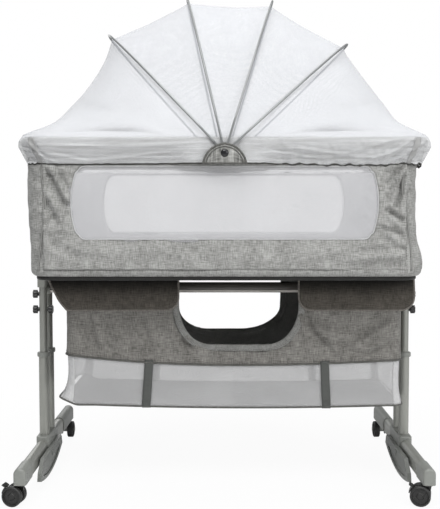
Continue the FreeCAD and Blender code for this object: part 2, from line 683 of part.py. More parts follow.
def plate_y():
    """Inner face of the hub's plate, outside the stack of eyelets."""
    return band_y() + CLEAR + len(RIB_ANGLES) * EYELET_STEP + CLEAR


def hub(side):
    """Half-round hub with a pointed apex, its pin through the eyelets and its button."""
    y0 = side * plate_y()
    out = V(0, side * HUB_THICKNESS, 0)
    shoulder = HUB_BASE + 24.0
    edges = [
        Part.makeLine(V(-HUB_RADIUS, y0, HUB_BASE), V(HUB_RADIUS, y0, HUB_BASE)),
        Part.Arc(V(HUB_RADIUS, y0, HUB_BASE), V(HUB_RADIUS * 0.75, y0, shoulder), V(0, y0, HUB_APEX)).toShape(),
        Part.Arc(V(0, y0, HUB_APEX), V(-HUB_RADIUS * 0.75, y0, shoulder), V(-HUB_RADIUS, y0, HUB_BASE)).toShape(),
    ]
    plate = Part.Face(Part.Wire(edges)).extrude(out)
    face = y0 + side * HUB_THICKNESS
    raised = Part.Face(Part.Wire(edges)).extrude(V(0, side * 1.5, 0))
    scale = FreeCAD.Matrix()
    scale.scale(0.82, 1, 0.82)
    centre = V(0, 0, HUB_Z)
    field = raised.translated(V(0, 0, 0) - centre).transformGeometry(scale)
    field = field.translated(centre + out - V(0, side * 1.2, -1.0))
    plate = plate.cut(field)
    floor = face - side * 1.2
    pin = rod(HUB_PIN_RADIUS, (0, side * (band_y() + CLEAR), HUB_Z), (0, y0, HUB_Z))
    button = rod(HUB_BUTTON_RADIUS, (0, floor, HUB_Z), (0, floor + side * HUB_BUTTON_HEIGHT, HUB_Z))
    button = button.makeFillet(3.5, edges_where(button, lambda e: abs(e.BoundBox.YMax - e.BoundBox.YMin) < 0.01
                                                and abs(e.CenterOfMass.y - floor) > 1))
    foot_z0, foot_z1 = HUB_BASE, HUB_BASE + 6.0
    spacer = block(-22, 22, min(side * (band_y() + CLEAR), y0), max(side * (band_y() + CLEAR), y0), foot_z0, foot_z1)
    return plate.fuse([pin, button, spacer]).removeSplitter()


def arch_radii(base_y, base_r, top_r, lean, leg, shoulder):
    """Radii of the two tangent arcs that carry a leaning leg over to a level top."""
    a, b = math.radians(lean), math.radians(shoulder)
    rise_y = base_y - leg * math.cos(a)
    rise_r = top_r - base_r - leg * math.sin(a)
    k = [[math.sin(a) - math.sin(b), math.sin(b)], [math.cos(b) - math.cos(a), 1 - math.cos(b)]]
    det = k[0][0] * k[1][1] - k[0][1] * k[1][0]
    side = (rise_y * k[1][1] - k[0][1] * rise_r) / det
    top = (k[0][0] * rise_r - k[1][0] * rise_y) / det
    return side, top


def arch_half(base_y, base_r, top_r, lean, leg, shoulder, inset=0.0):
    """Points of half an arch, from its foot to its top, as (y, r); arcs by their middles."""
    side, top = arch_radii(base_y, base_r, top_r, lean, leg, shoulder)
    a, b = math.radians(lean), math.radians(shoulder)
    centre_top = (0.0, top_r - top)
    knee = (base_y - leg * math.cos(a), base_r + leg * math.sin(a))
    centre_side = (knee[0] - side * math.sin(a), knee[1] - side * math.cos(a))

    def on(centre, radius, turn):
        return centre[0] + (radius - inset) * math.sin(turn), centre[1] + (radius - inset) * math.cos(turn)

    foot = (base_y - inset * math.sin(a), base_r - inset * math.cos(a))
    return [
        foot,
        on(centre_side, side, a),
        on(centre_side, side, (a + b) / 2),
        on(centre_side, side, b),
        (0.0, top_r - inset),
    ]


def arch_edges(half, place):
    """Line, arc, arc, arc and line of a whole arch; place turns (y, r) into a point."""
    foot, knee, mid, shoulder, top = half
    p = [place(-y, r) for y, r in (foot, knee, mid, shoulder)]
    q = [place(y, r) for y, r in (foot, knee, mid, shoulder)]
    return [
        Part.makeLine(p[0], p[1]),
        Part.Arc(p[1], p[2], p[3]).toShape(),
        Part.Arc(p[3], place(*top), q[3]).toShape(),
        Part.Arc(q[3], q[2], q[1]).toShape(),
        Part.makeLine(q[1], q[0]),
    ]


def polar_place(angle):
    """Point maker for the plane through the hub's axis at an angle from +X."""
    c, s = math.cos(math.radians(angle)), math.sin(math.radians(angle))
    return lambda y, r: V(r * c, y, HUB_Z + r * s)


def rib(index):
    """One rib: a wire arch with flat eyelets on the hub's two pins."""
    angle = RIB_ANGLES[index]
    place = polar_place(angle)
    lean = math.radians(RIB_LEAN)
    knee_y = rib_y() - RIB_KNEE_RADIUS * (1 - math.sin(lean))
    knee_r = RIB_STRAIGHT_END + RIB_KNEE_RADIUS * math.cos(lean)
    turn = (math.pi / 2 + lean) / 2
    mid = (rib_y() - RIB_KNEE_RADIUS * (1 - math.sin(turn)), RIB_STRAIGHT_END + RIB_KNEE_RADIUS * math.cos(turn))
    half = arch_half(knee_y, knee_r, RIB_REACHES[index], RIB_LEAN, RIB_LEG, RIB_SHOULDER)
    arch = arch_edges(half, place)
    lower = []
    for s in (-1, 1):
        start, end = place(s * rib_y(), RIB_STRAIGHT_START), place(s * rib_y(), RIB_STRAIGHT_END)
        lower.append([Part.makeLine(start, end), Part.Arc(end, place(s * mid[0], mid[1]), place(s * knee_y, knee_r)).toShape()])
    path = Part.Wire(lower[0] + arch + [lower[1][1], lower[1][0]])
    start = place(-rib_y(), RIB_STRAIGHT_START)
    circle = Part.Wire(Part.makeCircle(RIB_RADIUS, start, place(-rib_y(), 1) - place(-rib_y(), 0)))
    wire = path.makePipeShell([circle], True, True)
    return wire.fuse([eyelet(index, s) for s in (-1, 1)]).removeSplitter()


def eyelet(index, side):
    """Flat tail of a rib, in its own layer on the hub's pin."""
    y0 = band_y() + CLEAR + index * EYELET_STEP
    y1 = y0 + EYELET_THICKNESS
    tail = block(0, RIB_STRAIGHT_START + 8, y0, y1, -RIB_RADIUS * 0.9, RIB_RADIUS * 0.9)
    ring = rod(EYELET_RADIUS, (0, y0, 0), (0, y1, 0))
    end_y0, end_y1 = rib_y() - RIB_RADIUS * 0.8, rib_y() + RIB_RADIUS * 0.8
    clamp = block(RIB_STRAIGHT_START, RIB_STRAIGHT_START + 8, min(y0, end_y0), max(y1, end_y1), -1.8, 1.8)
    shape = tail.fuse([ring, clamp]).cut(rod(HUB_PIN_RADIUS + RUNNING, (0, y0 - 1, 0), (0, y1 + 1, 0)))
    if side < 0:
        shape = shape.mirror(V(0, 0, 0), Y_AXIS)
    shape.rotate(V(0, 0, 0), Y_AXIS, -RIB_ANGLES[index])
    return shape.translated(V(0, 0, HUB_Z))


# ------------------------------------------------------------------ net
def net_foot(angle):
    """Distance from the hub's axis to the net's lower edge, along a plane at an angle."""
    return (BAND_TOP + CLEAR - HUB_Z) / math.sin(math.radians(angle))


def net_wire(angle, reach, lean, leg, shoulder):
    """Closed outline of the net's thickness in the plane at an angle."""
    place = polar_place(angle)
    base_y = band_y() - NET_INSET
    outer = arch_half(base_y, net_foot(angle), reach, lean, leg, shoulder)
    inner = arch_half(base_y, net_foot(angle), reach, lean, leg, shoulder, NET_THICKNESS)
    return closed_band(arch_edges(outer, place), arch_edges(inner, place))


def closed_band(outer, inner):
    """Join an outer and an inner run of edges into one closed wire."""
    p0, p1 = outer[0].Vertexes[0].Point, outer[-1].Vertexes[-1].Point
    q0, q1 = inner[0].Vertexes[0].Point, inner[-1].Vertexes[-1].Point
    back = [reversed_edge(e) for e in reversed(inner)]
    return Part.Wire(outer + [Part.makeLine(p1, q1)] + back + [Part.makeLine(q0, p0)])


def reversed_edge(edge):
    ends = [v.Point for v in edge.Vertexes]
    if isinstance(edge.Curve, Part.Line):
        return Part.makeLine(ends[1], ends[0])
    middle = edge.valueAt((edge.FirstParameter + edge.LastParameter) / 2)
    return Part.Arc(ends[1], middle, ends[0]).toShape()


def rim_outline(sign, start_x, over, rise):
    """Outline round one end: over moves it in from the band's outer face, rise lifts it."""
    length, depth, corner = band_face()
    foot_z = BAND_TOP + CLEAR

    def run(inset, drop):
        z = foot_z + rise - drop
        foot_b = depth / 2 - NET_INSET - inset
        a, b, r = length / 2 - NET_INSET - over - inset, foot_b - over, corner - over - inset
        c = a - r
        s = r * math.sqrt(0.5)
        xy = [(c, -b), (c + s, -b + r - s), (a, -b + r), (a, b - r), (c + s, b - r + s), (c, b)]
        feet = [V(sign * start_x, y, foot_z) for y in (-foot_b, foot_b)]
        p = [feet[0]] + [V(sign * x, y, z) for x, y in xy] + [feet[1]]
        return [
            Part.makeLine(p[0], p[1]),
            Part.Arc(p[1], p[2], p[3]).toShape(),
            Part.makeLine(p[3], p[4]),
            Part.Arc(p[4], p[5], p[6]).toShape(),
            Part.makeLine(p[6], p[7]),
        ]

    return closed_band(run(0.0, 0.0), run(NET_THICKNESS, NET_THICKNESS if rise else 0.0))


def net_reach(index):
    return RIB_REACHES[index] - NET_BELOW_RIB


def gore(index):
    """Net between a rib and the next one, sagging in the middle."""
    first, last = RIB_ANGLES[index], RIB_ANGLES[index + 1]
    reach = [net_reach(index), net_reach(index + 1)]
    shape = [(first, reach[0]), ((first + last) / 2, sum(reach) / 2 - NET_SAG), (last, reach[1])]
    wires = [net_wire(angle, reach, NET_LEAN, NET_LEG, NET_SHOULDER) for angle, reach in shape]
    return Part.makeLoft(wires, True, False)


def end_gore(sign):
    """Net from an outer rib down to the rim at one end."""
    rib_angle = RIB_ANGLES[0] if sign < 0 else 180.0 - RIB_ANGLES[-1]
    reach = net_reach(0 if sign < 0 else len(RIB_ANGLES) - 1)
    sections = [(rib_angle, reach, NET_LEAN, NET_LEG, NET_SHOULDER)] + END_SECTIONS["left" if sign < 0 else "right"]
    wires = []
    for angle, reach, lean, leg, shoulder in sections:
        turned = angle if sign < 0 else 180.0 - angle
        wires.append(net_wire(turned, reach, lean, leg, shoulder))
    crown_rise = RIM_BOTTOM + RIM_HEIGHT + NET_OVER_RIM + NET_THICKNESS - BAND_TOP - CLEAR
    wires.append(rim_outline(sign, END_START - 15, RIM_WIDTH / 2, crown_rise))
    wires.append(rim_outline(sign, END_START, 0.0, 0.0))
    return Part.makeLoft(wires, True, True)


# ------------------------------------------------------------------ storage basket
def basket_shell(z0, z1, grow=0.0):
    """Upright cloth wall of the basket, all round."""
    outer = slab(BASKET_LENGTH + 2 * grow, BASKET_DEPTH + 2 * grow, BASKET_CORNER + grow, z0, z1, BASKET_X)
    t = BASKET_CLOTH
    inner = slab(
        BASKET_LENGTH + 2 * grow - 2 * t, BASKET_DEPTH + 2 * grow - 2 * t, BASKET_CORNER + grow - t, z0 - 1, z1 + 1, BASKET_X
    )
    return outer.cut(inner)


def below_seam():
    """Everything under the curved seam where the cloth skirt ends and the mesh begins."""
    half = BASKET_LENGTH / 2 + 40
    y = -BASKET_DEPTH / 2 - 40
    left, right = BASKET_X - half, BASKET_X + half
    seam = Part.Arc(V(left, y, SEAM_LEFT), V(BASKET_X, y, SEAM_MIDDLE), V(right, y, SEAM_RIGHT)).toShape()
    low = BASKET_BOTTOM - 60
    sides = [
        Part.makeLine(V(right, y, SEAM_RIGHT), V(right, y, low)),
        Part.makeLine(V(right, y, low), V(left, y, low)),
        Part.makeLine(V(left, y, low), V(left, y, SEAM_LEFT)),
    ]
    return Part.Face(Part.Wire([seam] + sides)).extrude(V(0, BASKET_DEPTH + 80, 0))


def mouth(place):
    """U-shaped opening through the front or the back of the skirt, open at the top."""
    left, right, low = MOUTHS[place]
    outer = BASKET_DEPTH / 2 + 5
    y0, y1 = (-outer, 0) if place == "front" else (0, outer)
    solid = block(left, right, y0, y1, low, BODY_BOTTOM + 10)
    corners = edges_where(solid, lambda e: e.BoundBox.YLength > 10 and e.BoundBox.ZMax < low + 1)
    return solid.makeFillet(CUT_CORNER, corners)


def basket_skirt():
    wall = basket_shell(BASKET_BOTTOM, BODY_BOTTOM - CLEAR).cut(below_seam())
    # the crossbar passes through the two ends
    r = CROSSBAR_RADIUS + 1.0
    passage = rod(r, (-foot_x, 0, CROSSBAR_Z), (foot_x, 0, CROSSBAR_Z))
    return wall.cut([mouth("front"), mouth("back"), passage])


def basket_net():
    return basket_shell(BASKET_BOTTOM, BODY_BOTTOM - CLEAR).common(below_seam())


def basket_floor():
    gap = 2 * (BASKET_CLOTH + CLEAR)
    floor = slab(
        BASKET_LENGTH - gap, BASKET_DEPTH - gap, BASKET_CORNER - gap / 2, BASKET_BOTTOM, BASKET_BOTTOM + FLOOR_THICKNESS, BASKET_X
    )
    return floor


def strap(x):
    """Webbing that runs up the front, under the floor and up the back."""
    half = BASKET_DEPTH / 2
    t = STRAP_THICKNESS
    x0, x1 = x - STRAP_WIDTH / 2, x + STRAP_WIDTH / 2
    outer = block(x0, x1, -half - CLEAR - t, half + CLEAR + t, BASKET_BOTTOM - CLEAR - t, STRAP_TOP)
    inner = block(x0 - 1, x1 + 1, -half - CLEAR, half + CLEAR, BASKET_BOTTOM - CLEAR, STRAP_TOP + 1)
    return outer.cut(inner)


def flap(side):
    """Pocket flap that hangs in front of the skirt."""
    x0, x1 = FLAP_SPANS[side]
    y1 = -BASKET_DEPTH / 2 - CLEAR
    sheet = block(x0, x1, y1 - FLAP_THICKNESS, y1, FLAP_BOTTOM, flap_hinge_z())
    low = edges_where(sheet, lambda e: e.BoundBox.YLength > 1 and e.BoundBox.ZMax < FLAP_BOTTOM + 1)
    return sheet.makeFillet(FLAP_CORNER, low)


def flap_hinge_z():
    return BODY_BOTTOM - CLEAR - FLAP_THICKNESS


# ------------------------------------------------------------------ every piece
def build_base():
    for side in SIDES:
        save(f"foot_bar_{side}", mirrored(foot_bar(), side))
        save(f"foot_cap_front_{side}", mirrored(front_cap(), side))
        save(f"foot_cap_rear_{side}", mirrored(rear_cap(), side))
        save(f"rear_wheel_{side}", mirrored(rear_wheel(), side))
        save(f"rocker_{side}", mirrored(rocker(), side))
        save(f"post_saddle_{side}", mirrored(saddle(), side))
        for place, y in post_ys.items():
            save(f"lower_post_{side}_{place}", mirrored(lower_post(y), side))
            save(f"collar_{side}_{place}", mirrored(collar(y), side))
        for name, shape in (("fork", caster_fork()), ("wheel", caster_wheel()), ("lever", caster_lever())):
            save(f"caster_{name}_{side}", shape.transformed(caster_frame(side)))


def build_upper():
    for side in SIDES:
        save(f"upper_frame_{side}", mirrored(upper_frame(), side))
        save(f"knob_upper_{side}", mirrored(upper_knob(), side))
        save(f"knob_lower_{side}", mirrored(lower_knob(), side))
    save("crossbar", crossbar())
    save("bassinet_tub", tub())
    save("front_panel", front_panel())
    save("window_front", window_mesh(-1))
    save("window_back", window_mesh(1))
    save("base_board", base_board())
    save("mattress", mattress())
    save("rim", rim())
    save("net_band", net_band())


def build_canopy():
    save("hub_front", hub(-1))
    save("hub_back", hub(1))
    for index in range(len(RIB_ANGLES)):
        save(f"rib_{index + 1}", rib(index))
    save("net_end_left", end_gore(-1))
    save("net_end_right", end_gore(1))
    for index in range(len(RIB_ANGLES) - 1):
        save(f"net_gore_{index + 1}", gore(index))


def build_basket():
    save("basket_skirt", basket_skirt())
    save("basket_net", basket_net())
    save("basket_floor", basket_floor())
    for name, x in zip(("left", "right"), STRAP_X):
        save(f"basket_strap_{name}", strap(x))
    for side in SIDES:
        save(f"flap_{side}", flap(side))


build_base()
build_upper()
build_canopy()
build_basket()
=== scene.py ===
"""Bedside sleeper crib, dressed in cloth and net.

Millimetres while a piece is shaped and metres once it is finished.  +X is to the right of
someone who stands in front, +Y runs to the far side and +Z is up.
"""

import json
import math

import bmesh
import bpy
from mathutils import Matrix, Vector, noise

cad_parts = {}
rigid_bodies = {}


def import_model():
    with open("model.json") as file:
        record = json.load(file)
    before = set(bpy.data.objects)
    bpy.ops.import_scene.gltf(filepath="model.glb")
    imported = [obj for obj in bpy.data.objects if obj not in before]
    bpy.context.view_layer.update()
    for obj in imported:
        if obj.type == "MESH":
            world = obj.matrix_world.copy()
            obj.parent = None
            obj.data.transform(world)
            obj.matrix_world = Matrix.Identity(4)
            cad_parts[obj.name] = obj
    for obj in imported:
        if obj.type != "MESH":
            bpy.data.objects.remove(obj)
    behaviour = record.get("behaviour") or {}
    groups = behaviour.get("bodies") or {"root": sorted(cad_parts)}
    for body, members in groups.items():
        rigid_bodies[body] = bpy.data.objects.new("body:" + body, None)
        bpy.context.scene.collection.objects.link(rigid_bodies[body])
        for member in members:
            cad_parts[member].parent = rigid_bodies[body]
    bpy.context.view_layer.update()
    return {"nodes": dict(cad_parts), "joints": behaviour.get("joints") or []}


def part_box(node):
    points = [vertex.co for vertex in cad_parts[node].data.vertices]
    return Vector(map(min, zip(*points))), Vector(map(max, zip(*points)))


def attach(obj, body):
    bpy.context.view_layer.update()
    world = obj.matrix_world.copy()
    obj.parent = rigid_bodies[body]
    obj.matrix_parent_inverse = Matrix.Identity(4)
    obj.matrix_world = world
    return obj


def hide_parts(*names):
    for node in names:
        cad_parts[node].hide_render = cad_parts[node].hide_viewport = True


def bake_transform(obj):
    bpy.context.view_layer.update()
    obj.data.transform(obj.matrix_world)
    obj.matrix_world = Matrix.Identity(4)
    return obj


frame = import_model()

MM = 0.001
UP = Vector((0, 0, 1))
SIDES = {"front": -1, "back": 1}  # towards -Y and +Y

# ------------------------------------------------------------------ sizes shared with the frame
BODY_LENGTH = 870.0
BODY_DEPTH = 540.0
BODY_CORNER = 60.0
BODY_BOTTOM = 495.0
BODY_TOP = 745.0
BODY_ROUND = 16.0
PANEL_HALF = 394.0
PANEL_SILL = 514.0
WINDOW_BOTTOM = 579.0
WINDOW_TOP = 740.0
WINDOW_END = 318.0
WINDOW_BULGE = 17.0
WINDOW_CORNER = 14.0
RIM_LENGTH = 910.0
RIM_DEPTH = 570.0
RIM_CORNER = 72.0
RIM_WIDTH = 26.0
RIM_BOTTOM = 745.0
RIM_TOP = 806.0
HUB_Z = 765.0
HUB_FACE = 293.9
HUB_BACK = 294.4
HUB_PUFF = 7.0
HUB_HALF = 46.0
HUB_BASE = 742.0
HUB_APEX = 784.0
BAND_Y = 286.5
RIB_ANGLES = [133.0, 103.0, 73.0, 43.0]
NET_REACHES = [399.0, 388.0, 388.0, 397.0]
NET_ARCH = (72.0, 120.0, 36.0)
NET_SAG = 18.0
NET_ENDS = {  # angle, reach, lean, leg and shoulder of the outlines between rib and rim
    side: [
        (140.0, reaches[0], 73.0, 110.0, 38.0),
        (148.0, reaches[1], 76.0, 100.0, 42.0),
        (156.0, reaches[2], 79.0, 95.0, 46.0),
        (163.0, reaches[3], 82.0, 90.0, 50.0),
    ]
    for side, reaches in (("left", (377.0, 371.0, 379.0, 399.0)), ("right", (391.0, 391.0, 399.0, 414.0)))
}
NET_START = 800.3
NET_FOOT_IN = 0.7  # of the net's foot inside the band's outer face
NET_CELLS = 56  # along an outline, from near to far
GORE_CELLS = 26  # from rib to rib
END_CELLS = 54  # from rib to rim
BASKET_X = 22.0
BASKET_LENGTH = 772.0
BASKET_DEPTH = 300.0
BASKET_CORNER = 26.0
BASKET_BOTTOM = 188.0
MOUTHS = {-1: (-105.0, 172.0, 331.0), 1: (-119.0, 150.0, 327.0)}  # left, right and bottom
MOUTH_CORNERS = {-1: ((74.0, 92.0), (74.0, 92.0)), 1: ((76.0, 58.0), (108.0, 64.0))}  # width and height
MOUTH_TOP = 500.0
STRAP_X = {"left": -175.0, "right": 233.0}


# ------------------------------------------------------------------ shaping tools
def steps(size, *stops):
    """Values from the first stop to the last, about a size apart, that include every stop."""
    values = [stops[0]]
    for low, high in zip(stops, stops[1:]):
        count = max(1, round(abs(high - low) / size))
        values += [low + (high - low) * k / count for k in range(1, count + 1)]
    return values


def ease(value, low, high):
    """0 below low, 1 above high and a smooth climb between them."""
    t = min(1.0, max(0.0, (value - low) / (high - low)))
    return t * t * (3 - 2 * t)


def ripple(x, y, z, size, seed=0.0):
    """Soft unevenness from -1 to 1 whose lumps are about a size across."""
    return noise.noise(Vector((x / size + seed, y / size - seed, z / size + 3.7 * seed)))


def cut_cloth(us, vs, place):
    """Cloth of one cell between neighbouring us and vs, whose UV map is its flat cut in metres."""
    bm = bmesh.new()
    across, along = len(us) - 1, len(vs) - 1
    bmesh.ops.create_grid(bm, x_segments=across, y_segments=along, size=0.5)
    flat = bm.loops.layers.uv.new("cut")
    seat = {}
    for vert in bm.verts:
        u = us[round((vert.co.x + 0.5) * across)]
        v = vs[round((vert.co.y + 0.5) * along)]
        seat[vert] = (u, v)
    for face in bm.faces:
        for loop in face.loops:
            u, v = seat[loop.vert]
            loop[flat].uv = (u * MM, v * MM)
    for vert, (u, v) in seat.items():
        vert.co = Vector(place(u, v))
    bm.normal_update()
    return bm


def close_ring(bm):
    """Sew together the ends of cloth that runs all round."""
    bmesh.ops.remove_doubles(bm, verts=bm.verts, dist=0.05)
    return bm


def outward(bm):
    """Turn all faces to the outside."""
    bmesh.ops.recalc_face_normals(bm, faces=bm.faces)
    return bm


def fill(bm, sides=0, below=math.inf):
    """Close the open edges that lie below a height."""
    edges = [e for e in bm.edges if e.is_boundary and all(v.co.z < below for v in e.verts)]
    bmesh.ops.holes_fill(bm, edges=edges, sides=sides)
    return outward(bm)


def drop_faces(bm, test):
    """Delete the faces whose middle passes a test."""
    bmesh.ops.delete(bm, geom=[f for f in bm.faces if test(f.calc_center_median())], context="FACES")


class Ring:
    """Rounded rectangle seen from above, walked from the middle of the front towards +X."""

    def __init__(self, length, depth, corner, x=0.0):
        self.half_l, self.half_d, self.corner, self.x = length / 2, depth / 2, corner, x
        a, b, c = self.half_l - corner, self.half_d - corner, math.pi / 2 * corner
        self.runs = [a, c, 2 * b, c, 2 * a, c, 2 * b, c, a]
        self.length = sum(self.runs)

    def at(self, s):
        """Point and outward direction after a walk of s."""
        s %= self.length
        run = 0
        while run < 8 and s > self.runs[run]:
            s -= self.runs[run]
            run += 1
        a, b, c = self.half_l - self.corner, self.half_d - self.corner, self.corner
        if run % 2:
            turn = {1: -90, 3: 0, 5: 90, 7: 180}[run]
            cx, cy = {1: (a, -b), 3: (a, b), 5: (-a, b), 7: (-a, -b)}[run]
            angle = math.radians(turn) + s / c
            nx, ny = math.cos(angle), math.sin(angle)
            return self.x + cx + c * nx, cy + c * ny, nx, ny
        return {
            0: (self.x + s, -self.half_d, 0.0, -1.0),
            2: (self.x + self.half_l, -b + s, 1.0, 0.0),
            4: (self.x + a - s, self.half_d, 0.0, 1.0),
            6: (self.x - self.half_l, b - s, -1.0, 0.0),
            8: (self.x - a + s, -self.half_d, 0.0, -1.0),
        }[run]

    def stand(self, s, out, z):
        """Place at a height that stands out from the ring."""
        x, y, nx, ny = self.at(s)
        return x + nx * out, y + ny * out, z

    def loop(self, size, place):
        """Closed line through the places of a walk all round."""
        return Line([place(s) for s in steps(size, 0.0, self.length)[:-1]], closed=True)


class Line:
    """Smooth line through points, walked by its length."""

    def __init__(self, points, closed=False):
        self.points = [Vector(p) for p in points]
        if closed:
            self.points.append(self.points[0].copy())
        self.closed = closed
        self.marks = [0.0]
        for p, q in zip(self.points, self.points[1:]):
            self.marks.append(self.marks[-1] + (q - p).length)
        self.length = self.marks[-1]

    def at(self, s):
        if self.closed:
            s %= self.length
        s = min(max(s, 0.0), self.length)
        low, high = 0, len(self.marks) - 1
        while high - low > 1:
            middle = (low + high) // 2
            if self.marks[middle] <= s:
                low = middle
            else:
                high = middle
        span = self.marks[high] - self.marks[low]
        return self.points[low].lerp(self.points[high], (s - self.marks[low]) / span if span else 0.0)

    def along(self, s):
        step = 0.6
        if not self.closed:
            s = min(max(s, step), self.length - step)
        return (self.at(s + step) - self.at(s - step)).normalized()


def roll(line, radius, size=5.0, sides=8, side=Vector((0, 1, 0)), flat=1.0):
    """Round or flattened trim along a line; side is roughly square to the line everywhere."""
    us, vs = steps(size, 0.0, line.length), steps(1.0, 0.0, float(sides))
    rolled = Vector(side)

    def place(u, v):
        run = line.along(u)
        across = (rolled - run * rolled.dot(run)).normalized()
        other = run.cross(across)
        turn = 2 * math.pi * v / sides
        r = radius(u) if callable(radius) else radius
        return line.at(u) + across * (r * flat * math.cos(turn)) + other * (r * math.sin(turn))

    bm = close_ring(cut_cloth(us, vs, place))
    return outward(bm) if line.closed else fill(bm, sides)


def bead(bm, matrix):
    """One stitch."""
    bmesh.ops.create_icosphere(bm, subdivisions=1, radius=1.0, matrix=matrix)


def stitches(line, pitch, length, radius):
    """Row of short thread stitches along a line."""
    row = bmesh.new()
    shape = Matrix.Diagonal((length / 2, radius, radius, 1.0))
    for k in range(int(line.length / pitch)):
        s = (k + 0.5) * pitch
        turned = line.along(s).to_track_quat("X", "Z").to_matrix().to_4x4()
        bead(row, Matrix.Translation(line.at(s)) @ turned @ shape)
    return row


def join(*parts):
    """One bmesh of several."""
    whole = parts[0]
    for part in parts[1:]:
        shell = bpy.data.meshes.new("shell")
        part.to_mesh(shell)
        part.free()
        whole.from_mesh(shell)
        bpy.data.meshes.remove(shell)
    return whole


def piece(name, bm, finish, thickness=0.0, offset=-1.0, body="bassinet"):
    """Finish a shape in metres, as an object with its material, that rides on a body."""
    bmesh.ops.scale(bm, vec=(MM, MM, MM), verts=bm.verts)
    mesh = bpy.data.meshes.new(name)
    bm.to_mesh(mesh)
    bm.free()
    obj = bpy.data.objects.new(name, mesh)
    bpy.context.scene.collection.objects.link(obj)
    mesh.materials.append(finish)
    mesh.shade_smooth()
    if thickness:
        wall = obj.modifiers.new("wall", "SOLIDIFY")
        wall.thickness = thickness * MM
        wall.offset = offset
    if body:
        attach(obj, body)
    return obj


# ------------------------------------------------------------------ nodes and the effects that finishes share
class Nodes:
    """Short ways to add to a node tree; a value is a plain one or a socket to link."""

    def __init__(self, tree):
        self.tree = tree

    def feed(self, socket, value):
        if isinstance(value, bpy.types.NodeSocket):
            self.tree.links.new(value, socket)
        else:
            socket.default_value = value

    def node(self, kind, values=None, **settings):
        made = self.tree.nodes.new("ShaderNode" + kind)
        for key, value in settings.items():
            setattr(made, key, value)
        for key, value in (values or {}).items():
            self.feed(made.inputs[key], value)
        return made

    def math(self, operation, *values):
        return self.node("Math", dict(enumerate(values)), operation=operation).outputs[0]

    def stretch(self, vector, factors):
        return self.node("VectorMath", {0: vector, 1: factors}, operation="MULTIPLY").outputs[0]

    def scale(self, vector, factor):
        return self.node("VectorMath", {0: vector, "Scale": factor}, operation="SCALE").outputs[0]

    def noise(self, vector, scale, detail=2.0, rough=0.5):
        values = {"Vector": vector, "Scale": scale, "Detail": detail, "Roughness": rough}
        return self.node("TexNoise", values).outputs["Fac"]

    def wave(self, vector, direction, scale, distortion, detail=1.0):
        values = {"Vector": vector, "Scale": scale, "Distortion": distortion, "Detail": detail}
        return self.node("TexWave", values, bands_direction=direction).outputs["Fac"]

    def spread(self, value, low, high, to_low=0.0, to_high=1.0):
        return self.node("MapRange", {0: value, 1: low, 2: high, 3: to_low, 4: to_high}).outputs[0]

    def blend(self, factor, first, second):
        return self.node("Mix", {0: factor, 6: first, 7: second}, data_type="RGBA").outputs[2]

    def mix_shaders(self, factor, first, second, end):
        mixed = self.node("MixShader", {0: factor, 1: first.outputs[0], 2: second.outputs[0]})
        self.feed(self.tree.nodes[end].inputs["Surface"], mixed.outputs[0])


class Effect(Nodes):
    """Shader node group on a vector, with named inputs and outputs."""

    def __init__(self, name, inputs, outputs):
        super().__init__(bpy.data.node_groups.new(name, "ShaderNodeTree"))
        add = self.tree.interface.new_socket
        add("Vector", in_out="INPUT", socket_type="NodeSocketVector")
        for label, value in inputs.items():
            kind = "NodeSocketFloat" if isinstance(value, float) else "NodeSocketColor"
            add(label, in_out="INPUT", socket_type=kind).default_value = value
        for label in outputs:
            add(label, in_out="OUTPUT", socket_type="NodeSocketColor" if label == "Color" else "NodeSocketFloat")
        self.inputs = self.tree.nodes.new("NodeGroupInput").outputs
        self.outputs = self.tree.nodes.new("NodeGroupOutput").inputs

    def put(self, label, value):
        self.feed(self.outputs[label], value)


def linen_effect():
    """Melange linen: slubs along both yarns, a plain weave and soft patches."""
    inputs = {"Light": (0.4, 0.4, 0.38, 1), "Dark": (0.2, 0.2, 0.19, 1), "Slub": 1.0}
    e = Effect("melange_linen", inputs, ["Color", "Height"])
    v = e.scale(e.inputs["Vector"], e.inputs["Slub"])
    weft = e.noise(e.stretch(v, (55, 520, 55)), 1.0, 3.0, 0.6)
    warp = e.noise(e.stretch(v, (560, 60, 560)), 1.0, 3.0, 0.6)
    patches = e.noise(v, 26.0, 3.0, 0.6)
    cross = e.math("ADD", e.math("MULTIPLY", weft, 0.5), e.math("MULTIPLY", warp, 0.5))
    shade = e.math("ADD", e.math("MULTIPLY", cross, 0.8), e.math("MULTIPLY", patches, 0.2))
    e.put("Color", e.blend(e.spread(shade, 0.39, 0.62), e.inputs["Dark"], e.inputs["Light"]))
    weave = e.math("MULTIPLY", e.wave(v, "X", 190.0, 0.6), e.wave(v, "Y", 190.0, 0.6))
    e.put("Height", e.math("ADD", e.math("MULTIPLY", weave, 0.5), shade))
    return e.tree


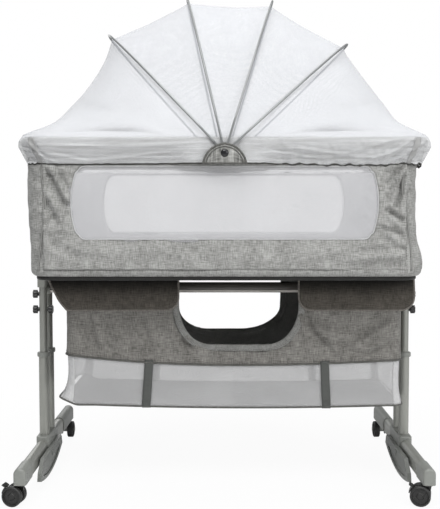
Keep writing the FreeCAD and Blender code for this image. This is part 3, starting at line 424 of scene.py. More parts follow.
def net_effect():
    """Knitted net: hexagonal holes between fine threads, with a slow change of density."""
    inputs = {"Holes": 420.0, "Open": 0.4, "Closed": 0.8, "Run": 6.0, "Rise": 60.0, "Pleats": 0.1}
    e = Effect("knitted_net", inputs, ["Alpha", "Height", "Tone"])
    v = e.inputs["Vector"]
    values = {"Vector": v, "Scale": e.inputs["Holes"], "Randomness": 0.35}
    cells = e.node("TexVoronoi", values, feature="DISTANCE_TO_EDGE").outputs["Distance"]
    thread = e.spread(cells, 0.05, 0.2, 1.0, 0.0)
    lie = e.node("CombineXYZ", {0: e.inputs["Run"], 1: e.inputs["Rise"], 2: 1.0}).outputs[0]
    pleat = e.noise(e.stretch(v, lie), 1.0, 3.0, 0.55)
    folded = e.math("MULTIPLY", e.spread(pleat, 0.35, 0.65, -1.0, 1.0), e.inputs["Pleats"])
    e.put("Alpha", e.math("ADD", e.spread(thread, 0.0, 1.0, e.inputs["Open"], e.inputs["Closed"]), folded))
    e.put("Height", thread)
    e.put("Tone", e.spread(e.noise(v, 9.0, 2.0), 0.3, 0.7, 0.94, 1.0))
    return e.tree


def grain_effect():
    """Fine uneven surface of moulded plastic, powder coat or rubber."""
    inputs = {"Base": (0.3, 0.3, 0.3, 1), "Grain": 900.0, "Tone": 0.08, "Rough": 0.45}
    e = Effect("surface_grain", inputs, ["Color", "Roughness", "Height"])
    v = e.inputs["Vector"]
    fine = e.noise(v, e.inputs["Grain"])
    uneven = e.math("SUBTRACT", e.noise(v, 14.0, 3.0, 0.6), 0.5)
    shift = e.math("MULTIPLY", uneven, e.inputs["Tone"])
    speck = e.math("MULTIPLY", e.math("SUBTRACT", fine, 0.5), e.inputs["Tone"])
    e.put("Color", e.scale(e.inputs["Base"], e.math("ADD", e.math("ADD", 1.0, shift), speck)))
    e.put("Roughness", e.math("ADD", e.inputs["Rough"], e.math("MULTIPLY", uneven, 0.14)))
    e.put("Height", fine)
    return e.tree


def webbing_effect():
    """Narrow woven webbing: ribs across its width."""
    inputs = {"Light": (0.2, 0.2, 0.2, 1), "Dark": (0.1, 0.1, 0.1, 1)}
    e = Effect("woven_webbing", inputs, ["Color", "Height"])
    ribs = e.wave(e.inputs["Vector"], "Y", 110.0, 1.0)
    rows = e.wave(e.inputs["Vector"], "X", 160.0, 0.4, 2.0)
    level = e.math("ADD", e.math("MULTIPLY", ribs, 0.6), e.math("MULTIPLY", rows, 0.4))
    e.put("Color", e.blend(level, e.inputs["Dark"], e.inputs["Light"]))
    e.put("Height", level)
    return e.tree


LINEN = linen_effect()
NET = net_effect()
GRAIN = grain_effect()
WEBBING = webbing_effect()


# ------------------------------------------------------------------ finishes, with colours as on screen from 0 to 255
def tone(colour):
    """The shader's linear colour."""
    return tuple((c / 255 / 12.92) if c <= 10 else ((c / 255 + 0.055) / 1.055) ** 2.4 for c in colour) + (1.0,)


class Finish(Nodes):
    """Material with one effect on it; cut takes the pattern from the flat cut of the cloth."""

    def __init__(self, name, effect, cut, values, bump=None, **sockets):
        self.mat = bpy.data.materials.new(name)
        self.mat.use_nodes = True
        super().__init__(self.mat.node_tree)
        self.shader = self.tree.nodes["Principled BSDF"].inputs
        for key, value in sockets.items():
            self.shader[key.replace("_", " ")].default_value = value
        where = self.node("UVMap", uv_map="cut").outputs[0] if cut else self.node("TexCoord").outputs["Object"]
        self.group = self.node("Group", {"Vector": where, **values}, node_tree=effect)
        made = self.group.outputs
        for label, socket in (("Color", "Base Color"), ("Roughness", "Roughness"), ("Alpha", "Alpha")):
            if label in made:
                self.feed(self.shader[socket], made[label])
        if bump:
            raised = self.node("Bump", {"Strength": bump[0], "Distance": bump[1], "Height": made["Height"]})
            self.feed(self.shader["Normal"], raised.outputs[0])

    def by_height(self, low, high, to_low=0.0, to_high=1.0):
        """Value that changes between two heights in metres."""
        place = self.node("SeparateXYZ", {0: self.node("TexCoord").outputs["Object"]})
        return self.spread(place.outputs["Z"], low, high, to_low, to_high)


def linen(name, light, dark, slub=1.0, cut=True, painted_shade=None):
    """Linen of two yarns; its last argument paints shade on it, a darkening towards a height."""
    values = {"Light": tone(light), "Dark": tone(dark), "Slub": slub}
    f = Finish(name, LINEN, cut, values, (0.5, 0.0006), Roughness=0.92, Sheen_Weight=0.12, Specular_IOR_Level=0.25)
    # Painted shade: the colour is scaled down between two heights.
    if painted_shade:
        f.feed(f.shader["Base Color"], f.scale(f.group.outputs["Color"], f.by_height(*painted_shade)))
    return f.mat


def netting(name, colour, holes, open_part, closed_part, pleats, run, rise):
    """Net; the parts are the cover in a hole and on a thread."""
    values = {"Holes": holes, "Open": open_part, "Closed": closed_part, "Run": run, "Rise": rise, "Pleats": pleats}
    f = Finish(name, NET, True, values, (0.25, 0.0003), Roughness=0.85, Specular_IOR_Level=0.2)
    f.feed(f.shader["Base Color"], f.scale(tone(colour)[:3], f.group.outputs["Tone"]))
    return f.mat


def moulded(name, colour, rough, grain, variation, metal=0.0, strength=0.12):
    """Plastic, rubber, thread or painted metal; variation is of its tone, strength of its bump."""
    values = {"Base": tone(colour), "Grain": grain, "Tone": variation, "Rough": rough}
    return Finish(name, GRAIN, False, values, (strength, 0.0002), Metallic=metal).mat


def painted_reflection_tube(name, below, above, low, high):
    """Tube with a painted reflection: the pale floor painted along its underside and the dark crib painted above it.
    """
    f = Finish(name, GRAIN, False, {"Grain": 600.0, "Tone": 0.03, "Rough": 0.24}, Metallic=0.0)
    f.feed(f.group.inputs["Base"], f.blend(f.by_height(low, high), tone(below), tone(above)))
    return f.mat


def webbed(name, light, dark):
    """Woven tape of two yarns."""
    return Finish(name, WEBBING, True, {"Light": tone(light), "Dark": tone(dark)}, (0.5, 0.0005), Roughness=0.8).mat


powder_coat = moulded("powder_coat_silver", (154, 155, 149), 0.36, 700.0, 0.05, 0.45, 0.06)
# Painted reflection: near-white along the crossbar's underside, as the floor would show in it, and dark grey above.
crossbar_reflection_paint = painted_reflection_tube("crossbar_painted_reflection", (255, 250, 242), (98, 94, 89), 0.4440, 0.4458)
grey_plastic = moulded("grey_moulding", (134, 136, 131), 0.42, 1100.0, 0.07, 0.0, 0.15)
rocker_plastic = moulded("rocker_moulding", (114, 116, 112), 0.42, 1100.0, 0.07, 0.0, 0.15)
black_plastic = moulded("black_moulding", (34, 34, 33), 0.32, 900.0, 0.12, 0.0, 0.12)
tyre = moulded("caster_tyre", (40, 40, 39), 0.55, 500.0, 0.15, 0.0, 0.2)
rib_steel = moulded("rib_steel", (136, 138, 138), 0.35, 1500.0, 0.06, 0.35, 0.08)
board_face = moulded("board_face", (150, 140, 122), 0.75, 300.0, 0.12)
button_black = moulded("hub_button", (30, 30, 32), 0.16, 400.0, 0.08, 0.0, 0.03)

body_linen = linen("body_linen", (175, 175, 172), (108, 108, 105))
wall_lining = linen("wall_lining", (208, 208, 209), (186, 186, 187), 1.3)
# Near-black underside cloth: painted shade under the tub and, on its piping, in the slit between body and basket.
underside = linen("underside_painted_shade_cloth", (46, 46, 45), (34, 34, 33), 1.3)
hub_linen = linen("hub_linen", (184, 184, 180), (86, 86, 83), 1.2)
basket_linen = linen("basket_linen", (146, 144, 139), (86, 84, 80), 0.9)
# Painted shade: the flap darkens towards its top, where the body's overhang shades it.
flap_linen = linen("flap_linen", (95, 90, 83), (56, 53, 48), 0.9, painted_shade=(0.446, 0.478, 1.0, 0.12))
lining = linen("dark_lining", (124, 124, 120), (104, 104, 101), 1.4)
trim_linen = linen("trim_linen", (150, 150, 147), (98, 98, 95), 1.6)
end_trim = linen("end_trim", (168, 168, 167), (142, 142, 141), 1.6)
window_hem = linen("window_hem", (204, 204, 205), (172, 172, 172), 1.6)
piping_grey = linen("piping_grey", (112, 112, 108), (70, 70, 67), 2.0)
thread_dark = moulded("seam_thread", (86, 86, 82), 0.8, 1500.0, 0.2)
elastic_dark = moulded("hem_elastic", (54, 54, 51), 0.85, 1200.0, 0.3)
zip_tape = webbed("zip_tape", (150, 150, 147), (108, 108, 105))
strap_webbing = webbed("strap_webbing", (92, 94, 91), (60, 62, 60))
basket_floor_cloth = linen("basket_floor_cloth", (176, 176, 175), (158, 158, 157), 1.4)

canopy_net = netting("canopy_net", (226, 228, 232), 420.0, 0.14, 0.44, 0.02, 5.0, 9.0)
band_net = netting("band_net", (230, 231, 232), 420.0, 0.2, 0.5, 0.13, 7.0, 150.0)
window_net = netting("window_net", (214, 214, 216), 520.0, 0.24, 0.54, 0.02, 9.0, 9.0)
basket_net = netting("basket_net", (205, 205, 205), 480.0, 0.3, 0.66, 0.03, 6.0, 20.0)
rim_linen = linen("rim_linen_padded", (178, 178, 176), (144, 144, 142), cut=False)
mattress_linen = linen("mattress_linen", (214, 214, 212), (188, 188, 187), 1.3, cut=False)
flap_trim = linen("flap_trim", (138, 133, 126), (92, 88, 83), 1.6)
corner_tape = linen("corner_tape", (206, 206, 206), (176, 176, 176), 1.6)


# ------------------------------------------------------------------ studio
CAMERA_PLACE = (-0.010, -2.127, 0.648)
CAMERA_TILT = 86.9
CAMERA_LENS = 60.6
LAMP_TARGET = Vector((0, 0, 0.62))
LAMPS = [  # name, place, size and power
    ("key", (-0.4, -1.95, 3.25), 2.0, 84.0),
    ("fill", (2.2, -2.4, 1.9), 2.0, 50.0),
    ("top", (0.2, 0.3, 3.2), 2.4, 28.0),
    ("back", (-1.2, 2.8, 1.8), 2.0, 22.0),
]
FLOOR_RADIUS = 30.0
FLOOR_FADE = (0.35, 1.1, 0.93, 1.0)  # two distances from the crib's middle, and how much the floor glows there


def studio():
    """Camera, plain soft lights and a white floor that keeps the crib's shadow."""
    scene = bpy.context.scene
    scene.view_settings.view_transform = "Standard"
    camera = bpy.data.objects.new("camera", bpy.data.cameras.new("camera"))
    camera.data.sensor_fit = "VERTICAL"
    camera.data.sensor_height = 36.0
    camera.data.lens = CAMERA_LENS
    camera.location = CAMERA_PLACE
    camera.rotation_euler = (math.radians(CAMERA_TILT), 0, 0)
    scene.collection.objects.link(camera)
    scene.camera = camera

    for name, place, size, power in LAMPS:
        lamp = bpy.data.lights.new(name, "AREA")
        lamp.size = size
        lamp.energy = power
        obj = bpy.data.objects.new(name, lamp)
        obj.location = place
        obj.rotation_euler = (LAMP_TARGET - Vector(place)).to_track_quat("-Z", "Y").to_euler()
        scene.collection.objects.link(obj)

    world = bpy.data.worlds.new("studio")
    world.use_nodes = True
    scene.world = world
    n = Nodes(world.node_tree)
    light = n.tree.nodes["Background"]
    n.feed(light.inputs["Color"], (0.96, 0.97, 1.0, 1))
    n.feed(light.inputs["Strength"], 0.3)
    white = n.node("Background", {"Color": (1, 1, 1, 1), "Strength": 1.0})
    ray = n.node("LightPath").outputs
    seen = n.math("MAXIMUM", ray["Is Camera Ray"], ray["Is Transmission Ray"])
    n.mix_shaders(seen, light, white, "World Output")

    ground = bmesh.new()
    bmesh.ops.create_circle(ground, cap_ends=True, segments=96, radius=FLOOR_RADIUS)
    mesh = bpy.data.meshes.new("floor")
    ground.to_mesh(mesh)
    ground.free()
    floor = bpy.data.objects.new("floor", mesh)
    scene.collection.objects.link(floor)
    mat = bpy.data.materials.new("white_floor")
    mat.use_nodes = True
    n = Nodes(mat.node_tree)
    paint = n.tree.nodes["Principled BSDF"]
    n.feed(paint.inputs["Base Color"], (0.86, 0.86, 0.86, 1))
    n.feed(paint.inputs["Roughness"], 0.8)
    far = n.node("VectorMath", {0: n.node("TexCoord").outputs["Object"]}, operation="LENGTH").outputs["Value"]
    share = n.math("MULTIPLY", n.spread(far, *FLOOR_FADE), n.node("LightPath").outputs["Is Camera Ray"])
    n.mix_shaders(share, paint, n.node("Emission"), "Material Output")
    mesh.materials.append(mat)


# ------------------------------------------------------------------ rigid pieces of the frame
def finish_frame():
    """Give the solids that stay their finishes, by the start of their names."""
    finishes = [
        ("foot_bar", powder_coat),
        ("lower_post", powder_coat),
        ("upper_frame", powder_coat),
        ("crossbar", crossbar_reflection_paint),
        ("foot_cap", grey_plastic),
        ("post_saddle", grey_plastic),
        ("collar", grey_plastic),
        ("rocker", rocker_plastic),
        ("caster_wheel", tyre),
        ("caster", black_plastic),
        ("rear_wheel", tyre),
        ("knob", black_plastic),
        ("rib", rib_steel),
        ("hub", button_black),
        ("base_board", board_face),
    ]
    for name, obj in frame["nodes"].items():
        for start, finish in finishes:
            if name.startswith(start):
                obj.data.materials.clear()
                obj.data.materials.append(finish)
                break


# ------------------------------------------------------------------ windows and cloth walls
def window_end(z):
    """Half-length of a window at a height."""
    middle, half = (WINDOW_BOTTOM + WINDOW_TOP) / 2, (WINDOW_TOP - WINDOW_BOTTOM) / 2
    return WINDOW_END + WINDOW_BULGE * (1 - ((z - middle) / half) ** 2)


def window_line(inset=0.0):
    """Closed outline of a window in x and z, with rounded corners."""
    low, high, r = WINDOW_BOTTOM + inset, WINDOW_TOP - inset, WINDOW_CORNER

    def corner(z, up):
        end = window_end(z) - inset
        turns = [math.pi / 2 * k / 6 for k in range(1, 7)]
        return [(end - r * (1 - math.cos(a)), z - up * r + up * r * math.sin(a)) for a in turns]

    side = [low + r + (high - low - 2 * r) * k / 24 for k in range(25)]
    right = [(window_end(z) - inset, z) for z in side] + corner(high, 1)
    under = corner(low, -1)
    return right + [(-x, z) for x, z in reversed(right)] + [(-x, z) for x, z in under] + under[::-1]


def inside(point, outline):
    """Whether a point lies in a closed outline."""
    x, z = point
    hit = False
    for (x0, z0), (x1, z1) in zip(outline, outline[1:] + outline[:1]):
        if (z0 > z) != (z1 > z) and x < (x1 - x0) * (z - z0) / (z1 - z0) + x0:
            hit = not hit
    return hit


def nearest(point, outline):
    """Nearest point of a closed outline."""
    p = Vector(point)
    best, found = 1e9, p
    for a, b in zip(outline, outline[1:] + outline[:1]):
        a, b = Vector(a), Vector(b)
        run = b - a
        t = min(1.0, max(0.0, (p - a).dot(run) / max(run.length_squared, 1e-9)))
        q = a + run * t
        if (q - p).length_squared < best:
            best, found = (q - p).length_squared, q
    return found


def cut_out(bm, outline, side, snap, top=math.inf):
    """Cut an outline, in x and z, out of the cloth on one side of the crib; -1 is the front.

    Points within snap of the outline go onto it first. Those above top keep their place.
    """
    wall, reach = 100.0, max(abs(x) for x, _ in outline) + 5 * snap
    for v in bm.verts:
        if v.co.y * side > wall and abs(v.co.x) < reach and v.co.z < top:
            q = nearest((v.co.x, v.co.z), outline)
            if (Vector((v.co.x, v.co.z)) - q).length < snap:
                v.co.x, v.co.z = q
    before = {e for e in bm.edges if e.is_boundary}
    drop_faces(bm, lambda c: c.y * side > wall and abs(c.x) < reach and inside((c.x, c.z), outline))
    for edge in [e for e in bm.edges if e.is_boundary and e not in before]:
        for v in edge.verts:
            if v.co.z < top:
                v.co.x, v.co.z = nearest((v.co.x, v.co.z), outline)
    bmesh.ops.dissolve_degenerate(bm, edges=bm.edges, dist=0.02)


# folds that the cloth keeps: two ends in x and z, width and depth (inwards is below 0)
PANEL_FOLDS = [
    (-384, 730, -350, 662, 5.0, -4.6),
    (-376, 736, -344, 676, 5.0, 3.6),
    (-352, 668, -338, 652, 5.0, -4.2),
    (-388, 690, -356, 640, 6.0, 3.0),
    (-390, 668, -362, 612, 6.0, -3.4),
    (-388, 742, -330, 728, 5.5, 2.6),
    (-386, 720, -352, 716, 4.5, -2.6),
    (-388, 604, -356, 622, 6.0, 2.8),
    (-390, 588, -346, 594, 5.0, -2.0),
    (-386, 560, -330, 530, 9.0, 2.6),
    (-372, 548, -250, 532, 12.0, -2.0),
    (-240, 545, -160, 560, 14.0, 1.6),
    (388, 738, 350, 700, 5.0, -5.0),
    (384, 730, 362, 668, 5.0, 4.2),
    (372, 742, 350, 728, 4.5, 3.0),
    (391, 716, 372, 640, 5.5, -4.4),
    (380, 690, 352, 640, 6.0, 3.2),
    (352, 646, 386, 622, 5.0, -4.2),
    (350, 634, 388, 606, 6.0, 3.4),
    (340, 604, 388, 592, 5.0, -3.2),
    (352, 596, 388, 566, 7.0, 3.6),
    (386, 560, 290, 552, 8.0, -3.0),
    (390, 548, 270, 532, 10.0, 2.8),
    (386, 524, 230, 520, 12.0, -2.0),
    (220, 556, 120, 530, 16.0, 2.0),
    (90, 530, -40, 545, 18.0, 1.6),
    (-150, 560, -60, 530, 18.0, 1.6),
]
CORNER_FOLDS = [
    (-432, 736, -404, 712, 6, -4.2),
    (-434, 712, -400, 690, 6, 3.6),
    (-402, 684, -434, 640, 7, -3.8),
    (-398, 650, -430, 622, 7, 3.2),
    (-434, 604, -402, 584, 7, -3.0),
    (-434, 580, -404, 548, 8, 3.0),
    (-404, 540, -432, 512, 8, -2.6),
    (402, 742, 432, 706, 6, -4.6),
    (400, 712, 430, 680, 6, 3.8),
    (400, 682, 432, 652, 7, -3.6),
    (404, 650, 434, 604, 8, 3.6),
    (402, 612, 434, 570, 7, -4.2),
    (404, 574, 434, 540, 7, 3.6),
    (402, 540, 430, 510, 7, -3.2),
]


def fold_height(x, z, folds):
    """How far folds make the cloth stand out; each is a crease with a swell on one side."""
    total = 0.0
    for x0, z0, x1, z1, width, depth in folds:
        run = Vector((x1 - x0, z1 - z0))
        from_start = Vector((x - x0, z - z0))
        t = from_start.dot(run) / run.length_squared
        off = (from_start - run * min(1.15, max(-0.15, t))).length
        if off < 5 * width:
            side = 1 if run.x * from_start.y > run.y * from_start.x else -1
            swell = math.exp(-(((side * off - 1.7 * width) / (1.3 * width)) ** 2))
            painted_shade = ease(t, -0.15, 0.12) * (1 - ease(t, 0.8, 1.15))
            total += depth * painted_shade * (math.exp(-((off / width) ** 2)) - 0.75 * swell)
    return total


# how far the right end's cloth stands out, by height
END_STANDS = [
    (495, -4.0), (502, 3.0), (514, 9.0), (530, 8.5), (551, 6.0), (569, 0.0), (590, -6.0), (700, -8.0), (745, -7.0),
]


def between(value, stops):
    """Value read off a bent line through stops of (place, value)."""
    for (low, a), (high, b) in zip(stops, stops[1:]):
        if value <= high:
            t = max(0.0, (value - low) / (high - low))
            return a + (b - a) * t
    return stops[-1][1]


def body_face(s, z, ring):
    """Outside of the bassinet's cloth at a walk s round it and a height z."""
    x, y, nx, ny = ring.at(s)
    near_corner = ease(abs(x), 340, 420)
    out = 1.2 * ripple(x, y, z, 55.0, 2.0) + 0.8 * ripple(x, y, z, 22.0, 5.0) * near_corner
    out += 1.6 * ripple(x * 0.4, y * 0.4, z, 60.0, 9.0)
    out += fold_height(x if y < 0 else -x, z, CORNER_FOLDS) * (1 - 0.75 * abs(nx))
    out *= 1 - ease(z, BODY_TOP - 12, BODY_TOP)
    out -= 2.0
    if x < BODY_CORNER - BODY_LENGTH / 2:
        out += abs(nx) * (4.0 - 5.0 * ease(BODY_TOP - z, 60, 250))
    elif x > BODY_LENGTH / 2 - BODY_CORNER:
        out += abs(nx) * between(z, END_STANDS)
    return x + nx * out, y + ny * out


def cloth_tub(ring):
    """Walls and floor, and the piping under their lower edge, in near-black cloth as painted shade for the shaded slit
    below the body.
    """
    half, low, r = PANEL_HALF, BODY_BOTTOM, BODY_ROUND
    fine, floor_in, floor_z = 130.0, 60.0, BODY_BOTTOM + 1.5
    turn = math.pi / 2 * r
    us = steps(4.0, half, half + fine) + steps(7.0, half + fine, ring.length - half - fine)[1:]
    us += steps(4.0, ring.length - half - fine, ring.length - half)[1:]
    us += steps(7.0, ring.length - half, ring.length + half)[1:]
    vs = [-floor_in, -floor_in / 2] + steps(4.0, 0.0, turn) + steps(7.0, turn, turn + PANEL_SILL - low - r)[1:]
    vs += steps(5.0, vs[-1], vs[-1] + BODY_TOP - PANEL_SILL)[1:]

    def tucked(u, inset, z):
        x, y = body_face(u, low + r, ring)
        nx, ny = ring.at(u)[2:]
        return x - nx * inset, y - ny * inset, z

    def place(u, v):
        if v <= 0:
            return ring.stand(u, v - r, floor_z)
        if v < turn:
            return tucked(u, r * (1 - math.sin(v / r)), floor_z + (r - 1.5) * (1 - math.cos(v / r)))
        z = low + r + v - turn
        return *body_face(u, z, ring), z

    bm = close_ring(cut_cloth(us, vs, place))
    drop_faces(bm, lambda c: c.y < 20 - BODY_DEPTH / 2 and abs(c.x) < half and c.z > PANEL_SILL)
    cut_out(bm, window_line(), 1, 0.45 * 7.0)
    fill(bm, 0, low + 2)
    for face in bm.faces:
        face.material_index = 1 if face.calc_center_median().z < low + 4.5 else 0
    tub = piece("bassinet_cloth", bm, body_linen, 2.4)
    tub.data.materials.append(underside)
    tub.data.materials.append(wall_lining)
    tub.modifiers["wall"].material_offset = 2
    hem = ring.loop(6.0, lambda u: tucked(u, 9.0 + 5.0 * abs(ring.at(u)[2]), low - 1.2))
    seam = roll(hem, lambda u: 2.4 + 0.2 * ripple(u, 0, 0, 30.0, 2.0), side=UP, flat=1.6)
    # Painted shade: the piping takes the near-black underside cloth to darken the slit under the body.
    piece("bassinet_piping", seam, underside)
    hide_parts("bassinet_tub")


def front_panel():
    """Zipped front wall, with a groove that runs on from the window's lower edge."""
    half, front = PANEL_HALF, -BODY_DEPTH / 2
    us = steps(4.0, -half, -300.0) + steps(6.0, -300.0, 300.0)[1:] + steps(4.0, 300.0, half)[1:]

    def place(x, z):
        out = 1.3 * ripple(x, 7.0, z, 48.0, 4.0) + 0.6 * ripple(x, 3.0, z, 17.0, 8.0) * ease(abs(x), 300, 380)
        out += 1.7 * fold_height(x, z, PANEL_FOLDS)
        out += 2.5 * ease(PANEL_SILL + 66 - z, 0, 40)
        out *= 1 - ease(z, BODY_TOP - 10, BODY_TOP)
        out *= 1 - ease(abs(x), half - 8, half)
        out -= 1.6
        groove = abs(z - WINDOW_BOTTOM)
        if abs(x) > WINDOW_END and groove < 3:
            out -= 1.2 * (1 - groove / 3)
        return x, front - out, z

    bm = cut_cloth(us, steps(4.0, PANEL_SILL, BODY_TOP), place)
    cut_out(bm, window_line(), -1, 0.45 * 6.0)
    outward(bm)
    if sum(f.normal.y for f in bm.faces) > 0:
        bmesh.ops.reverse_faces(bm, faces=bm.faces)
    panel = piece("front_panel_cloth", bm, body_linen, 2.0)
    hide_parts("front_panel")


def mesh_window(name, side):
    """Mesh of one window and the binding round it."""
    y = side * (BODY_DEPTH / 2 - 2.6)
    reach = WINDOW_END + WINDOW_BULGE + 6

    def place(u, v):
        return u, y - side * (1.0 + ripple(u, side, v, 90.0, 3.0)), v

    bm = cut_cloth(steps(10.0, -reach, reach), steps(10.0, WINDOW_BOTTOM - 6, WINDOW_TOP + 4), place)
    outline = window_line(-5.0)
    for v in bm.verts:
        if not inside((v.co.x, v.co.z), outline):
            v.co.x, v.co.z = nearest((v.co.x, v.co.z), outline)
    bmesh.ops.dissolve_degenerate(bm, edges=bm.edges, dist=0.05)
    window = piece(f"window_mesh_{name}", bm, window_net, 0.6, 0.0)
    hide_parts(f"window_{name}")
    edge = Line([(x, side * (BODY_DEPTH / 2 - 1.0), z) for x, z in window_line(1.5)], closed=True)
    piece(f"window_binding_{name}", roll(edge, 1.0, 6.0, flat=0.6), window_hem)


def zip_x(z, sign):
    """How far along the front a zip runs at a height."""
    if sign < 0:
        return -PANEL_HALF + 1.0 - 9.0 * ease(BODY_TOP - z, 60, 250) + 3.5 * math.sin((z - 560) / 46.0)
    return PANEL_HALF - 8.0 + 20.0 * ease(BODY_TOP - z, 0, 250) + 1.5 * math.sin(z / 40.0)


def zips(ring):
    """Zip and its tape at each front corner, with a row of stitches beside it."""
    half = 3.8

    def on_body(x, z):
        over = abs(x) - (BODY_LENGTH / 2 - BODY_CORNER)
        s = abs(x) if over < 0 else abs(x) - over + BODY_CORNER * math.asin(over / BODY_CORNER)
        face = body_face(s if x > 0 else ring.length - s, z, ring)[1]
        return min(-BODY_DEPTH / 2 + 1.6 + 0.6 * max(0.0, over), face)

    for name, sign in (("left", -1), ("right", 1)):
        line = [(zip_x(z, sign), z) for z in steps(4.0, BODY_BOTTOM + 16, BODY_TOP - 2)]
        course = Line([(x, on_body(x, z) - 0.7, z) for x, z in line])

        def tape(u, v):
            p = course.at(u)
            return p.x + v, p.y + 0.5 - 0.9 * (1 - abs(v) / half), p.z

        cloth = cut_cloth(steps(5.0, 0.0, course.length), steps(1.9, -half, half), tape)
        strip = piece(f"zip_tape_{name}", cloth, zip_tape, 0.8, 0.0)
        piece(f"zip_{name}", roll(course, 1.05, 4.0, 6, flat=0.9), elastic_dark)
        beside = [(p.x - 9.0 * sign, p.z) for p in course.points]
        seam = Line([(x, on_body(x, z) - 0.4, z) for x, z in beside])
        piece(f"zip_stitches_{name}", stitches(seam, 6.0, 3.6, 0.55), thread_dark)


# ------------------------------------------------------------------ rim and net band
def capsule(v, half_w, height):
    """Inward offset and height on an upright capsule walked by v from 0 to 1 from its outer waist."""
    straight = height - 2 * half_w
    total = 2 * straight + 2 * math.pi * half_w
    s = (v % 1.0) * total
    if s < straight / 2:
        return -half_w, s
    s -= straight / 2
    if s < math.pi * half_w:
        a = s / half_w
        return -half_w * math.cos(a), straight / 2 + half_w * math.sin(a)
    s -= math.pi * half_w
    if s < straight:
        return half_w, straight / 2 - s
    s -= straight
    if s < math.pi * half_w:
        a = s / half_w
        return half_w * math.cos(a), -straight / 2 - half_w * math.sin(a)
    s -= math.pi * half_w
    return -half_w, -straight / 2 + s


def rim_tuck(x, ny, z):
    """How far the rim's outer face is drawn in at a height; it stays full behind the hubs."""
    hub = ease(abs(x), 60, 130) if abs(ny) > 0.5 else 1.0
    return (2.0 + 14.0 * ease(792 - z, 0, 44)) * hub


def padded_ring():
    """The padded rail, a little slimmer than it ends up after it swells."""
    slim, walk = 2.2, 160.0
    ring = Ring(RIM_LENGTH - RIM_WIDTH, RIM_DEPTH - RIM_WIDTH, RIM_CORNER - RIM_WIDTH / 2)
    height = RIM_TOP - RIM_BOTTOM - 2 * slim
    half_w = RIM_WIDTH / 2 - slim
    middle = (RIM_TOP + RIM_BOTTOM) / 2

    def place(u, v):
        x, y, nx, ny = ring.at(u)
        inset, rise = capsule(v / walk, half_w, height)
        if inset < 0:
            inset += rim_tuck(x, ny, middle + rise) * min(1.0, -inset / half_w)
        return x - nx * inset, y - ny * inset, middle + rise

    return outward(close_ring(cut_cloth(steps(9.0, 0.0, ring.length), steps(walk / 28, 0.0, walk), place)))


def pad(name, solid, bm, finish, voxel, pressure, cap, frames):
    """A pad, blown up as cloth with each point held within a cap of its start, that stands for a solid."""
    obj = piece(name, bm, finish, body=None)
    remesh = obj.modifiers.new("remesh", "REMESH")
    remesh.mode = "VOXEL"
    remesh.voxel_size = voxel
    keep(obj)
    start = [v.co.copy() for v in obj.data.vertices]
    cloth = obj.modifiers.new("cloth", "CLOTH")
    cloth.settings.quality = 5
    cloth.settings.mass = 0.3
    cloth.settings.use_pressure = True
    cloth.settings.uniform_pressure_force = pressure
    cloth.settings.effector_weights.gravity = 0.0
    cloth.point_cache.frame_start = 1
    cloth.point_cache.frame_end = frames
    scene = bpy.context.scene
    for number in range(1, frames + 1):
        scene.frame_set(number)
    shaped = obj.evaluated_get(bpy.context.evaluated_depsgraph_get())
    moved = [v.co.copy() for v in shaped.data.vertices]
    obj.modifiers.clear()
    for vert, a, b in zip(obj.data.vertices, start, moved):
        step = b - a
        if step.length > cap:
            step *= cap / step.length
        vert.co = a + step
    scene.frame_set(1)
    obj.data.shade_smooth()
    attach(obj, "bassinet")
    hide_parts(solid)


def keep(obj):
    """Make what the modifiers show the mesh itself."""
    graph = bpy.context.evaluated_depsgraph_get()
    shaped = bpy.data.meshes.new_from_object(obj.evaluated_get(graph))
    obj.modifiers.clear()
    old = obj.data
    obj.data = shaped
    bpy.data.meshes.remove(old)
    obj.data.shade_smooth()


# pleats of the band on the front: two ends in x and z, width and depth
BAND_FOLDS = [
    (46, 777, 200, 757, 2.2, 2.0),
    (44, 770, 165, 754, 2.0, 1.8),
    (90, 768, 300, 750, 2.6, 2.2),
    (150, 778, 330, 756, 3.0, 1.6),
    (412, 800, 335, 750, 3.0, 2.6),
    (402, 784, 300, 748, 2.8, 2.6),
    (432, 790, 362, 746, 2.6, 2.4),
    (386, 770, 255, 750, 2.6, 2.2),
    (372, 796, 250, 764, 3.4, 1.6),
    (425, 770, 392, 746, 2.4, 2.4),
    (-255, 755, -118, 768, 3.4, 2.0),
    (-300, 752, -50, 760, 2.8, 1.6),
    (-425, 792, -385, 750, 3.0, 2.2),
    (-442, 778, -364, 748, 2.6, 2.2),
    (-404, 770, -300, 752, 3.0, 1.8),
    (-360, 780, -80, 784, 4.0, 1.2),
]


# down the band: share of its height, how far it stands out, how much more at the ends, and height
BAND_STOPS = [
    (0.0, 0.8, -4.0, 800.3),
    (0.12, 1.0, -0.5, 794.0),
    (0.35, -0.6, 2.4, 782.0),
    (0.6, -5.5, -1.2, 767.0),
    (0.82, -11.5, -3.4, 753.0),
    (1.0, -16.0, -4.0, 744.0),
]
BAND_HEIGHT = 66.0


